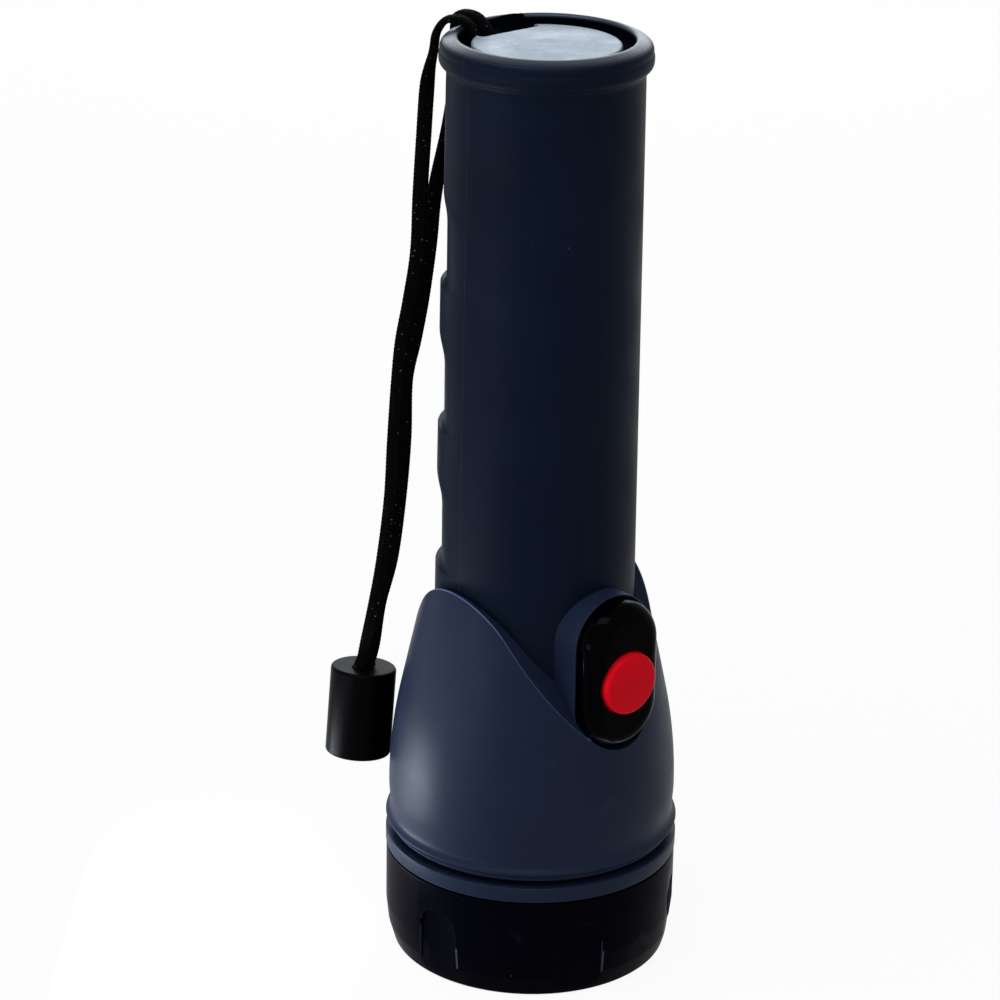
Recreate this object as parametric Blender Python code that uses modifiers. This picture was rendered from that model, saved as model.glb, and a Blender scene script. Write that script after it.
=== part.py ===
"""Two-cell LED torch with a screwed front ring, a push button and a wrist cord.

The torch stands on its front ring. The origin is on the torch's axis, in the plane of the
ring's front face. +Z runs from the lens to the tail, and the push button faces -Y.
Lengths are in metres.
"""

import math

import bmesh
import bpy
from mathutils import Matrix, Vector

MM = 0.001

# Clearances shared by all pieces
FIT = 0.3 * MM
RUN_FIT = 0.4 * MM
OVERRUN = 3.0 * MM
MERGE = 0.01 * MM

# Smoothness of turned pieces
BIG_STEPS = 60
MID_STEPS = 36
SMALL_STEPS = 20

# Battery cells, size D
CELL_R = 17.1 * MM
CELL_LENGTH = 60.0 * MM
CELL_NUB_R = 4.75 * MM
CELL_NUB_H = 1.5 * MM
CELL_EDGE = 0.8 * MM
CELL_RIM_W = 2.2 * MM

# Front ring, screwed on, with six thumb recesses
RING_R = 30.9 * MM
RING_H = 22.45 * MM
RING_WALL = 2.4 * MM
RING_LIP_H = 2.5 * MM
RING_LIP_W = 3.4 * MM
RING_FACE_W = 2.4 * MM
RING_CHAMFER_H = 4.4 * MM
RING_CHAMFER_W = 1.4 * MM
RING_NOSE = 0.7 * MM
RING_EDGE = 0.4 * MM
RING_SEAL_SEAT_H = 1.55 * MM
RECESS_COUNT = 6
RECESS_FIRST_ANGLE = math.radians(-19.5)
RECESS_W = 10.0 * MM
RECESS_TOP_Z = 16.8 * MM
RECESS_DEPTH = 1.2 * MM

# Window, its gasket and the reflector
GASKET_T = 1.0 * MM
LENS_T = 2.0 * MM
LENS_EDGE = 0.3 * MM
REFLECTOR_FLANGE_T = 1.5 * MM
REFLECTOR_CLEARANCE = 1.2 * MM
REFLECTOR_WALL = 1.2 * MM
REFLECTOR_DEPTH = 27.69 * MM
REFLECTOR_NECK_R = 4.8 * MM

# Light module behind the reflector
BOARD_R = 11.5 * MM
BOARD_T = 1.6 * MM
LED_BASE_R = 3.5 * MM
LED_BASE_H = 2.8 * MM
LED_DOME_R = 2.6 * MM
HOLDER_FLANGE_T = 1.8 * MM
HOLDER_BARREL_H = 15.0 * MM
HOLDER_BORE_R = 3.2 * MM
HOLDER_STEP_H = 7.5 * MM
CONTACT_RING_T = 0.7 * MM
PIN_R = 1.6 * MM
PIN_HEAD_R = 4.0 * MM
PIN_HEAD_H = 4.4 * MM

# Screw collar between the front ring and the head shell
COLLAR_PROUD = 0.15 * MM
COLLAR_FLANGE_H = 3.95 * MM
COLLAR_EDGE = 0.35 * MM
SPIGOT_WALL = 2.9 * MM
NECK_WALL = 2.0 * MM
SEAL_W = 1.3 * MM
SEAL_H = 1.25 * MM

# Handle tube and its tail
CELL_CLEARANCE = 0.35 * MM
TUBE_WALL_TAIL = 2.4 * MM
TUBE_WALL_HEAD = 3.55 * MM
TUBE_FLANGE_T = 2.5 * MM
BULKHEAD_T = 1.8 * MM
TAIL_DEPTH = 9.2 * MM
LEDGE_H = 5.7 * MM
RIM_PROUD = 1.6 * MM
RIM_H = 4.6 * MM
RIM_FILLET = 2.4 * MM
RIM_OPENING_WALL = 1.75 * MM
BEAD_PROUD = 0.15 * MM
BEAD_H = 1.2 * MM

# Finger grips on the back of the handle
GRIP_COUNT = 3
GRIP_START = 1.6 * MM
GRIP_LENGTH = 23.0 * MM
GRIP_PITCH = 30.5 * MM
GRIP_DEPTH = 1.7 * MM
GRIP_HALF_ANGLE = math.radians(74)
GRIP_RUNOUT = 7.0 * MM
GRIP_LEDGE_R = 1.2 * MM
GRIP_SWELL = 0.6 * MM
GRIP_SWELL_TOP = 6.0 * MM

# Head shell with its two side petals
SHELL_LIP_W = 0.65 * MM
SHELL_FOOT_H = 9.5 * MM
SHELL_BOW_H = 22.0 * MM
SHELL_TOP_W = 1.0 * MM
SHELL_WALL = 2.4 * MM
SHELL_LIP_H = 2.3 * MM
SHELL_THROAT_H = 2.6 * MM
SHELL_THROAT_W = 0.3 * MM
SHELL_UNDERCUT = 1.2 * MM
PETAL_H = 48.9 * MM
PETAL_NOSE_R = 18.0 * MM
PETAL_SLOPE = math.radians(50.4)
PETAL_LEAN = math.radians(19.3)

# Switch boss, its cover and the push button
SWITCH_DROP = 14.75 * MM
COVER_HALF_W = 9.4 * MM
COVER_STRAIGHT = 13.1 * MM
COVER_RISE = 4.8 * MM
COVER_SINK = 1.6 * MM
COVER_SHOULDER = 3.5 * MM
COVER_PLATE_T = 1.6 * MM
COVER_WALL = 1.4 * MM
BOSS_WALL = 0.45 * MM
BOSS_EDGE_LOW = 0.3 * MM
BUTTON_R = 6.6 * MM
BUTTON_DROP = 0.95 * MM
BUTTON_RISE = 1.4 * MM
BUTTON_EDGE = 0.9 * MM
BUTTON_FLANGE_W = 1.0 * MM
BUTTON_FLANGE_T = 1.0 * MM
BUTTON_TRAVEL = 1.2 * MM
STEM_R = 2.4 * MM
SWITCH_BODY_SIDE = 12.0 * MM
SWITCH_BODY_T = 4.4 * MM
SWITCH_BODY_BACK = 0.6 * MM
SWITCH_BODY_SINK = 2.55 * MM
SWITCH_SOCKET_DEPTH = 3.4 * MM
STEM_ENTRY = 1.6 * MM

# Contact strips in the handle's wall
STRIP_W = 4.0 * MM
STRIP_T = 0.4 * MM
CHANNEL_W = 5.0 * MM
CHANNEL_DEPTH = 1.1 * MM
STRIP_FOOT_H = 3.0 * MM

# Tail spring and plate
SPRING_H = 6.4 * MM
SPRING_WIRE_R = 0.45 * MM
SPRING_TURNS = 4
SPRING_TOP_R = 11.5 * MM
SPRING_TIP_R = 5.0 * MM
SPRING_POINTS_PER_TURN = 10
PLATE_R = 14.0 * MM
PLATE_T = 0.4 * MM

# Tail cap and cord pin
CAP_R = 15.0 * MM
CAP_PLATE_T = 1.8 * MM
CAP_WALL = 1.5 * MM
CAP_EDGE = 0.5 * MM
CAP_CROWN = 0.4 * MM
CAP_SLOT_HALF_W = 7.6 * MM
CAP_SLOT_Y = 10.8 * MM
CAP_SET_BACK = 1.0 * MM
CORD_PIN_R = 1.1 * MM
CORD_PIN_HALF = 10.2 * MM
CORD_PIN_Y = 14.4 * MM
CORD_PIN_RISE = 3.8 * MM
POCKET_DEPTH = 2.5 * MM
POCKET_FLOOR = 0.5 * MM

# Wrist cord and its stopper
CORD_R = 1.2 * MM
CORD_SAMPLES = 2
STOPPER_R = 7.0 * MM
STOPPER_LENGTH = 19.4 * MM
STOPPER_EDGE = 0.8 * MM
STOPPER_SLOT_DEPTH = 5.0 * MM
STOPPER_SLOT_R = 1.8 * MM
STRAND_DEPTH_SHARE = 0.7
STOPPER_FOOT_Z = 39.7 * MM
STOPPER_SIDE = math.radians(42.2)
STOPPER_LEAN = math.radians(6.8)
STOPPER_LEAN_SIDE = math.radians(18.8)
STRAND_SPREAD = 1.65 * MM
STRAND_SIDE = math.radians(203)

# Radii that follow from the pieces inside or outside
RING_BORE_R = RING_R - RING_WALL
RING_OPENING_R = RING_BORE_R - RING_LIP_W
SPIGOT_R = RING_BORE_R - RUN_FIT
SPIGOT_BORE_R = SPIGOT_R - SPIGOT_WALL
REFLECTOR_MOUTH_R = SPIGOT_BORE_R - REFLECTOR_CLEARANCE
REFLECTOR_FOCUS = REFLECTOR_MOUTH_R ** 2 / (4 * REFLECTOR_DEPTH)
COLLAR_R = RING_R + COLLAR_PROUD
SHELL_LIP_R = COLLAR_R
SHELL_BELLY_R = SHELL_LIP_R - SHELL_LIP_W
NECK_R = SHELL_BELLY_R - SHELL_WALL - SHELL_THROAT_W - FIT
NECK_BORE_R = NECK_R - NECK_WALL
BORE_R = CELL_R + CELL_CLEARANCE
SWITCH_REACH = BORE_R + SWITCH_BODY_BACK + SWITCH_BODY_T + SWITCH_BODY_SINK
TUBE_TAIL_R = BORE_R + TUBE_WALL_TAIL
TUBE_HEAD_R = BORE_R + TUBE_WALL_HEAD
RIM_R = TUBE_TAIL_R + RIM_PROUD
RIM_OPENING_R = TUBE_TAIL_R - RIM_OPENING_WALL
LEDGE_R = CAP_R + FIT
BARREL_R = BORE_R - RUN_FIT
BARREL_NECK_R = BARREL_R - CONTACT_RING_T - FIT

# Heights along the axis, each from the piece in front of it
GASKET_Z = RING_LIP_H + FIT
LENS_Z = GASKET_Z + GASKET_T + FIT
REFLECTOR_Z = LENS_Z + LENS_T + FIT
SPIGOT_Z = REFLECTOR_Z + REFLECTOR_FLANGE_T + FIT
COLLAR_Z = RING_H + FIT
SHELL_Z = COLLAR_Z + COLLAR_FLANGE_H + FIT
SHELL_BELLY_Z = SHELL_Z + SHELL_FOOT_H
PETAL_TOP_Z = SHELL_BELLY_Z + PETAL_H
SHELL_TOP_Z = PETAL_TOP_Z + OVERRUN
SWITCH_Z = PETAL_TOP_Z - SWITCH_DROP
GRIP_FIRST_Z = PETAL_TOP_Z + GRIP_START
VERTEX_Z = REFLECTOR_Z + REFLECTOR_DEPTH
NECK_Z = VERTEX_Z - REFLECTOR_NECK_R ** 2 / (4 * REFLECTOR_FOCUS)
BOARD_Z = NECK_Z + FIT
HOLDER_Z = BOARD_Z + BOARD_T + FIT
TUBE_Z = HOLDER_Z + HOLDER_FLANGE_T + RUN_FIT
HOLDER_TOP_Z = HOLDER_Z + HOLDER_FLANGE_T + HOLDER_BARREL_H
PIN_HEAD_Z = HOLDER_TOP_Z + FIT
FIRST_CELL_Z = PIN_HEAD_Z + PIN_HEAD_H + FIT
CELL_PITCH = CELL_LENGTH + CELL_NUB_H + FIT
SPRING_Z = FIRST_CELL_Z + 2 * CELL_PITCH
PLATE_Z = SPRING_Z + SPRING_H + FIT
BULKHEAD_Z = PLATE_Z + PLATE_T + FIT
POCKET_Z = BULKHEAD_Z + BULKHEAD_T
RIM_TOP_Z = POCKET_Z + TAIL_DEPTH

PARTS = "torch"
CUTTERS = "torch_cutters"


def clear_scene():
    """Empty the scene and make one collection for the parts and one for their cutters."""
    for obj in list(bpy.data.objects):
        bpy.data.objects.remove(obj, do_unlink=True)
    for name in (PARTS, CUTTERS):
        collection = bpy.data.collections.new(name)
        bpy.context.scene.collection.children.link(collection)


def linear(value):
    """The linear value of an 8-bit sRGB colour channel."""
    share = value / 255
    return share / 12.92 if share <= 0.04045 else ((share + 0.055) / 1.055) ** 2.4


def make_material(name, red, green, blue, roughness, metallic=0.0, transmission=0.0):
    """A Principled material from an 8-bit sRGB colour."""
    material = bpy.data.materials.new(name)
    material.use_nodes = True
    shader = material.node_tree.nodes["Principled BSDF"]
    shader.inputs["Base Color"].default_value = (linear(red), linear(green), linear(blue), 1.0)
    shader.inputs["Roughness"].default_value = roughness
    shader.inputs["Metallic"].default_value = metallic
    shader.inputs["Transmission Weight"].default_value = transmission
    return material


def make_materials():
    """Every finish of the torch, by name."""
    return {
        "slate_rubber": make_material("slate_rubber", 27, 33, 46, 0.5),
        "slate_plastic": make_material("slate_plastic", 44, 51, 68, 0.42),
        "black_plastic": make_material("black_plastic", 10, 10, 17, 0.4),
        "gloss_black": make_material("gloss_black", 6, 6, 9, 0.08),
        "red_plastic": make_material("red_plastic", 190, 14, 30, 0.35),
        "grey_plastic": make_material("grey_plastic", 136, 150, 166, 0.4),
        "clear_plastic": make_material("clear_plastic", 240, 244, 246, 0.05, 0.0, 0.95),
        "seal_rubber": make_material("seal_rubber", 18, 18, 18, 0.7),
        "mirror_metal": make_material("mirror_metal", 225, 226, 228, 0.08, 1.0),
        "circuit_board": make_material("circuit_board", 228, 230, 226, 0.5),
        "led_yellow": make_material("led_yellow", 232, 206, 96, 0.3),
        "white_plastic": make_material("white_plastic", 214, 214, 208, 0.5),
        "brass": make_material("brass", 196, 160, 92, 0.35, 1.0),
        "spring_steel": make_material("spring_steel", 176, 178, 182, 0.3, 1.0),
        "cell_jacket": make_material("cell_jacket", 60, 84, 112, 0.35),
        "cord_black": make_material("cord_black", 8, 8, 10, 0.85),
        "stopper_black": make_material("stopper_black", 9, 9, 13, 0.25),
    }


def add_object(name, mesh, material=None, parent=None):
    """Link a mesh as a part, or as a cutter where it has no material."""
    obj = bpy.data.objects.new(name, mesh)
    if material is None:
        obj.hide_render = True
        obj.display_type = "WIRE"
        bpy.data.collections[CUTTERS].objects.link(obj)
    else:
        mesh.materials.append(material)
        bpy.data.collections[PARTS].objects.link(obj)
    obj.parent = parent
    return obj


def turned(name, profile, steps, material=None, closed=False, parent=None, shift=(0, 0, 0)):
    """A turned piece from (radius, height) points that run down its outer side."""
    mesh = bpy.data.meshes.new(name)
    edges = [(i, i + 1) for i in range(len(profile) - 1)]
    if closed:
        edges.append((len(profile) - 1, 0))
    mesh.from_pydata([(radius, 0, height) for radius, height in profile], edges, [])
    obj = add_object(name, mesh, material, parent)
    obj.location = shift
    screw = obj.modifiers.new("turn", "SCREW")
    screw.steps = steps
    screw.render_steps = steps
    screw.use_merge_vertices = True
    screw.merge_threshold = MERGE
    screw.use_smooth_shade = True
    return obj


def arc(centre, radius, start, end, count):
    """Points of an arc in (radius, height) space, from one angle to the other, in degrees."""
    points = []
    for i in range(count + 1):
        angle = math.radians(start + (end - start) * i / count)
        points.append((centre[0] + radius * math.cos(angle), centre[1] + radius * math.sin(angle)))
    return points


def prism(name, outline, low, high, material=None, parent=None, edge=0, edge_segments=2):
    """A flat outline in XY, filled and extruded from one height to the other."""
    curve = bpy.data.curves.new(name, "CURVE")
    curve.dimensions = "2D"
    curve.fill_mode = "BOTH"
    curve.extrude = (high - low) / 2
    spline = curve.splines.new("POLY")
    spline.points.add(len(outline) - 1)
    for point, (x, y) in zip(spline.points, outline):
        point.co = (x, y, 0, 1)
    spline.use_cyclic_u = True
    guide = bpy.data.objects.new(name + "_outline", curve)
    bpy.context.scene.collection.objects.link(guide)
    evaluated = guide.evaluated_get(bpy.context.evaluated_depsgraph_get())
    mesh = bpy.data.meshes.new_from_object(evaluated)
    bpy.data.objects.remove(guide, do_unlink=True)
    shape = bmesh.new()
    shape.from_mesh(mesh)
    bmesh.ops.remove_doubles(shape, verts=shape.verts, dist=MERGE)
    bmesh.ops.dissolve_limit(shape, angle_limit=math.radians(0.1), verts=shape.verts, edges=shape.edges)
    bmesh.ops.recalc_face_normals(shape, faces=shape.faces)
    bmesh.ops.translate(shape, verts=shape.verts, vec=(0, 0, (low + high) / 2))
    if edge:
        top = [e for e in shape.edges if min(v.co.z for v in e.verts) > high - MERGE]
        bmesh.ops.bevel(shape, geom=top, offset=edge, segments=edge_segments, profile=0.5,
                        affect="EDGES", clamp_overlap=True, material=-1)
    shape.to_mesh(mesh)
    shape.free()
    mesh.name = name
    return add_object(name, mesh, material, parent)


def stadium(half_width, straight, count=12, y_shift=0):
    """Outline of a slot shape that is long in Y."""
    points = []
    for i in range(count + 1):
        angle = math.pi * i / count
        points.append((half_width * math.cos(angle), straight / 2 + half_width * math.sin(angle) + y_shift))
    for i in range(count + 1):
        angle = math.pi + math.pi * i / count
        points.append((half_width * math.cos(angle), -straight / 2 + half_width * math.sin(angle) + y_shift))
    return points


def rectangle(left, right, bottom, top):
    """Outline of a rectangle."""
    return [(left, bottom), (right, bottom), (right, top), (left, top)]


def block(name, low, high, material=None, parent=None):
    """A box between two corners."""
    shape = bmesh.new()
    bmesh.ops.create_cube(shape, size=1)
    size = Vector(high) - Vector(low)
    middle = (Vector(high) + Vector(low)) / 2
    bmesh.ops.transform(shape, matrix=Matrix.Translation(middle) @ Matrix.Diagonal((*size, 1)), verts=shape.verts)
    mesh = bpy.data.meshes.new(name)
    shape.to_mesh(mesh)
    shape.free()
    return add_object(name, mesh, material, parent)


def rod(name, radius, start, end, steps, material=None, parent=None):
    """A round bar between two points."""
    shape = bmesh.new()
    run = Vector(end) - Vector(start)
    bmesh.ops.create_cone(shape, cap_ends=True, segments=steps, radius1=radius, radius2=radius, depth=run.length)
    turn = run.to_track_quat("Z", "Y").to_matrix().to_4x4()
    middle = (Vector(start) + Vector(end)) / 2
    bmesh.ops.transform(shape, matrix=Matrix.Translation(middle) @ turn, verts=shape.verts)
    mesh = bpy.data.meshes.new(name)
    shape.to_mesh(mesh)
    shape.free()
    return add_object(name, mesh, material, parent)


def combine(obj, other, operation):
    """Add a Boolean modifier of the exact kind."""
    modifier = obj.modifiers.new(operation.lower(), "BOOLEAN")
    modifier.operation = operation
    modifier.object = other
    modifier.solver = "EXACT"


def cut(obj, *cutters):
    """Cut each cutter out of a piece."""
    for cutter in cutters:
        combine(obj, cutter, "DIFFERENCE")


def tube_radius(height):
    """Outer radius of the handle, which narrows evenly to the tail."""
    share = (height - TUBE_Z) / (RIM_TOP_Z - TUBE_Z)
    return TUBE_HEAD_R + (TUBE_TAIL_R - TUBE_HEAD_R) * share


def shell_radius(height):
    """Outer radius of the head shell above its belly: it bends in softly and runs on as a straight taper."""
    rise = height - SHELL_BELLY_Z
    run = SHELL_TOP_Z - SHELL_BELLY_Z - SHELL_BOW_H / 2
    slope = (SHELL_BELLY_R - tube_radius(SHELL_TOP_Z) - SHELL_TOP_W) / run
    if rise <= 0:
        return SHELL_BELLY_R
    if rise <= SHELL_BOW_H:
        return SHELL_BELLY_R - slope * rise ** 2 / (2 * SHELL_BOW_H)
    return SHELL_BELLY_R - slope * (rise - SHELL_BOW_H / 2)


def switch_frame():
    """An empty in the middle of the switch cover's outline, its Z axis out along the button."""
    frame = bpy.data.objects.new("switch_frame", None)
    frame.location = (0, -SWITCH_REACH, SWITCH_Z)
    frame.rotation_euler = (math.pi / 2, 0, 0)
    bpy.data.collections[PARTS].objects.link(frame)
    return frame


def roof(name, drop):
    """Cutter that keeps what lies under two sloping cuts, which meet in a round nose and rise to the sides."""
    reach = RING_R + OVERRUN
    rise = math.tan(PETAL_LEAN)
    nose_z = PETAL_TOP_Z - shell_radius(PETAL_TOP_Z) * rise - drop - PETAL_NOSE_R
    slope = math.degrees(PETAL_SLOPE)
    outline = arc((0, nose_z), PETAL_NOSE_R, 90 - slope, 90 + slope, 8)
    side_y, side_z = outline[0]
    fall = (reach - side_y) * math.tan(PETAL_SLOPE)
    outline = [(-reach, 0), (reach, 0), (reach, side_z - fall)] + outline + [(-reach, side_z - fall)]
    cutter = prism(name, outline, -reach, reach)
    shape = bmesh.new()
    shape.from_mesh(cutter.data)
    whole = shape.verts[:] + shape.edges[:] + shape.faces[:]
    bmesh.ops.bisect_plane(shape, geom=whole, dist=MERGE, plane_co=(0, 0, 0), plane_no=(0, 0, 1))
    for vert in shape.verts:
        vert.co.y += rise * abs(vert.co.z)
    shape.to_mesh(cutter.data)
    shape.free()
    cutter.rotation_euler = Matrix(((0, 0, 1), (1, 0, 0), (0, 1, 0))).to_euler()
    return cutter


def build_cells(materials):
    """Two cells in line, nub towards the lens."""
    edge = CELL_EDGE
    front = CELL_NUB_H
    back = CELL_NUB_H + CELL_LENGTH
    inner_rim = CELL_R - CELL_RIM_W
    profile = [
        (0, back - edge / 2), (inner_rim, back - edge / 2), (inner_rim + edge / 2, back),
        (CELL_R - edge / 2, back), (CELL_R, back - edge / 2), (CELL_R, front + edge / 2),
        (CELL_R - edge / 2, front), (inner_rim, front), (CELL_NUB_R, front + edge / 2),
        (CELL_NUB_R, 0), (0, 0),
    ]
    for number in (1, 2):
        height = FIRST_CELL_Z + (number - 1) * CELL_PITCH
        turned(f"battery_{number}", profile, MID_STEPS, materials["cell_jacket"], shift=(0, 0, height))


def build_front_ring(materials):
    """Black ring with a drawn-in nose, a lip over the window and six arched recesses."""
    chamfer_r = RING_R - RING_CHAMFER_W
    opening = RING_OPENING_R
    seat_r = SPIGOT_R + FIT + SEAL_W + FIT
    seat_z = RING_H - RING_SEAL_SEAT_H
    profile = [
        (seat_r, RING_H), (RING_R - RING_EDGE, RING_H), (RING_R, RING_H - RING_EDGE),
        (RING_R, 2 * RING_CHAMFER_H), (RING_R - RING_EDGE, RING_CHAMFER_H + RING_EDGE / 2),
        (RING_R - 1.5 * RING_EDGE, RING_CHAMFER_H), (chamfer_r - RING_EDGE / 2, RING_NOSE),
    ]
    profile += arc((chamfer_r - RING_NOSE - RING_EDGE / 2, RING_NOSE), RING_NOSE, 0, -90, 3)[1:]
    profile += [
        (opening + RING_FACE_W / 2, 0), (opening, RING_LIP_H / 2), (opening, RING_LIP_H),
        (RING_BORE_R, RING_LIP_H), (RING_BORE_R, seat_z), (seat_r, seat_z),
    ]
    ring = turned("front_ring", profile, BIG_STEPS, materials["black_plastic"], closed=True)
    half = RECESS_W / 2
    low = -OVERRUN
    shoulder = RECESS_TOP_Z - half
    outline = [(-half, low), (half, low)] + arc((0, shoulder), half, 0, 180, 10)
    for number in range(RECESS_COUNT):
        angle = RECESS_FIRST_ANGLE + number * 2 * math.pi / RECESS_COUNT
        cutter = prism(f"recess_{number + 1}", outline, RING_R - RECESS_DEPTH, RING_R + OVERRUN)
        cutter.rotation_euler = (math.pi / 2, 0, angle)
        cut(ring, cutter)


def build_window(materials):
    """Gasket, clear window and reflector behind the front ring's lip."""
    seat_r = RING_BORE_R - FIT
    gasket_bore = RING_OPENING_R + FIT
    gasket_top = GASKET_Z + GASKET_T
    profile = [(gasket_bore, gasket_top), (seat_r, gasket_top), (seat_r, GASKET_Z), (gasket_bore, GASKET_Z)]
    turned("window_gasket", profile, MID_STEPS, materials["seal_rubber"], closed=True)
    top = LENS_Z + LENS_T
    profile = [
        (0, top), (seat_r - LENS_EDGE, top), (seat_r, top - LENS_EDGE), (seat_r, LENS_Z + LENS_EDGE),
        (seat_r - LENS_EDGE, LENS_Z), (0, LENS_Z),
    ]
    turned("window", profile, BIG_STEPS, materials["clear_plastic"])
    flange_top = REFLECTOR_Z + REFLECTOR_FLANGE_T
    inner = []
    outer = []
    count = 6
    for i in range(count + 1):
        radius = REFLECTOR_NECK_R + (REFLECTOR_MOUTH_R - REFLECTOR_NECK_R) * i / count
        height = VERTEX_Z - radius ** 2 / (4 * REFLECTOR_FOCUS)
        inner.append((radius, height))
        slant = math.atan2(radius, 2 * REFLECTOR_FOCUS)
        outside = (radius + REFLECTOR_WALL * math.sin(slant), height + REFLECTOR_WALL * math.cos(slant))
        if flange_top < outside[1] < NECK_Z:
            outer.append(outside)
    neck_edge = [(REFLECTOR_NECK_R, NECK_Z), (outer[0][0], NECK_Z)]
    flange = [(outer[-1][0], flange_top), (seat_r, flange_top), (seat_r, REFLECTOR_Z)]
    profile = neck_edge + outer[1:] + flange + list(reversed(inner))[:-1]
    turned("reflector", profile, MID_STEPS, materials["mirror_metal"], closed=True)


def build_light_module(materials):
    """Board with its LED, the holder behind it and the two contacts of the holder."""
    board_top = BOARD_Z + BOARD_T
    profile = [(0, board_top), (BOARD_R, board_top), (BOARD_R, BOARD_Z), (0, BOARD_Z)]
    turned("led_board", profile, MID_STEPS, materials["circuit_board"])
    led_top = BOARD_Z - FIT
    dome_z = led_top - LED_BASE_H
    profile = [(0, led_top), (LED_BASE_R, led_top), (LED_BASE_R, dome_z)]
    profile += arc((0, dome_z), LED_DOME_R, 0, -90, 6)
    turned("led", profile, SMALL_STEPS, materials["led_yellow"])
    flange_r = NECK_BORE_R - RUN_FIT
    flange_top = HOLDER_Z + HOLDER_FLANGE_T
    step_z = HOLDER_TOP_Z - HOLDER_STEP_H
    profile = [
        (HOLDER_BORE_R, HOLDER_TOP_Z), (BARREL_NECK_R, HOLDER_TOP_Z), (BARREL_NECK_R, step_z), (BARREL_R, step_z),
        (BARREL_R, flange_top), (flange_r, flange_top), (flange_r, HOLDER_Z), (HOLDER_BORE_R, HOLDER_Z),
    ]
    turned("module_holder", profile, MID_STEPS, materials["white_plastic"], closed=True)
    ring_z = step_z + FIT
    ring_in = BARREL_NECK_R + FIT
    profile = [(ring_in, HOLDER_TOP_Z), (BARREL_R, HOLDER_TOP_Z), (BARREL_R, ring_z), (ring_in, ring_z)]
    turned("contact_ring", profile, MID_STEPS, materials["brass"], closed=True)
    head_top = PIN_HEAD_Z + PIN_HEAD_H
    shank_low = board_top + FIT
    profile = [
        (0, head_top), (PIN_HEAD_R * 0.75, head_top), (PIN_HEAD_R, head_top - PIN_HEAD_R / 4),
        (PIN_HEAD_R, PIN_HEAD_Z), (PIN_R, PIN_HEAD_Z), (PIN_R, shank_low), (0, shank_low),
    ]
    turned("centre_contact", profile, SMALL_STEPS, materials["brass"])


def build_collar(materials):
    """Collar that carries the front ring's thread, shows as a band and rises inside the shell."""
    flange_top = COLLAR_Z + COLLAR_FLANGE_H
    neck_top = TUBE_Z - FIT
    neck_bore = NECK_BORE_R
    profile = [
        (neck_bore, neck_top), (NECK_R, neck_top), (NECK_R, flange_top), (COLLAR_R - COLLAR_EDGE, flange_top),
        (COLLAR_R, flange_top - COLLAR_EDGE), (COLLAR_R, COLLAR_Z + COLLAR_EDGE), (COLLAR_R - COLLAR_EDGE, COLLAR_Z),
        (SPIGOT_R, COLLAR_Z), (SPIGOT_R, SPIGOT_Z + COLLAR_EDGE), (SPIGOT_R - COLLAR_EDGE, SPIGOT_Z),
        (SPIGOT_BORE_R, SPIGOT_Z),
    ]
    turned("screw_collar", profile, BIG_STEPS, materials["slate_plastic"], closed=True)
    low = RING_H - SEAL_H
    inner = SPIGOT_R + FIT
    profile = [(inner, RING_H), (inner + SEAL_W, RING_H), (inner + SEAL_W, low), (inner, low)]
    turned("collar_seal", profile, BIG_STEPS, materials["seal_rubber"], closed=True)


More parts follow.
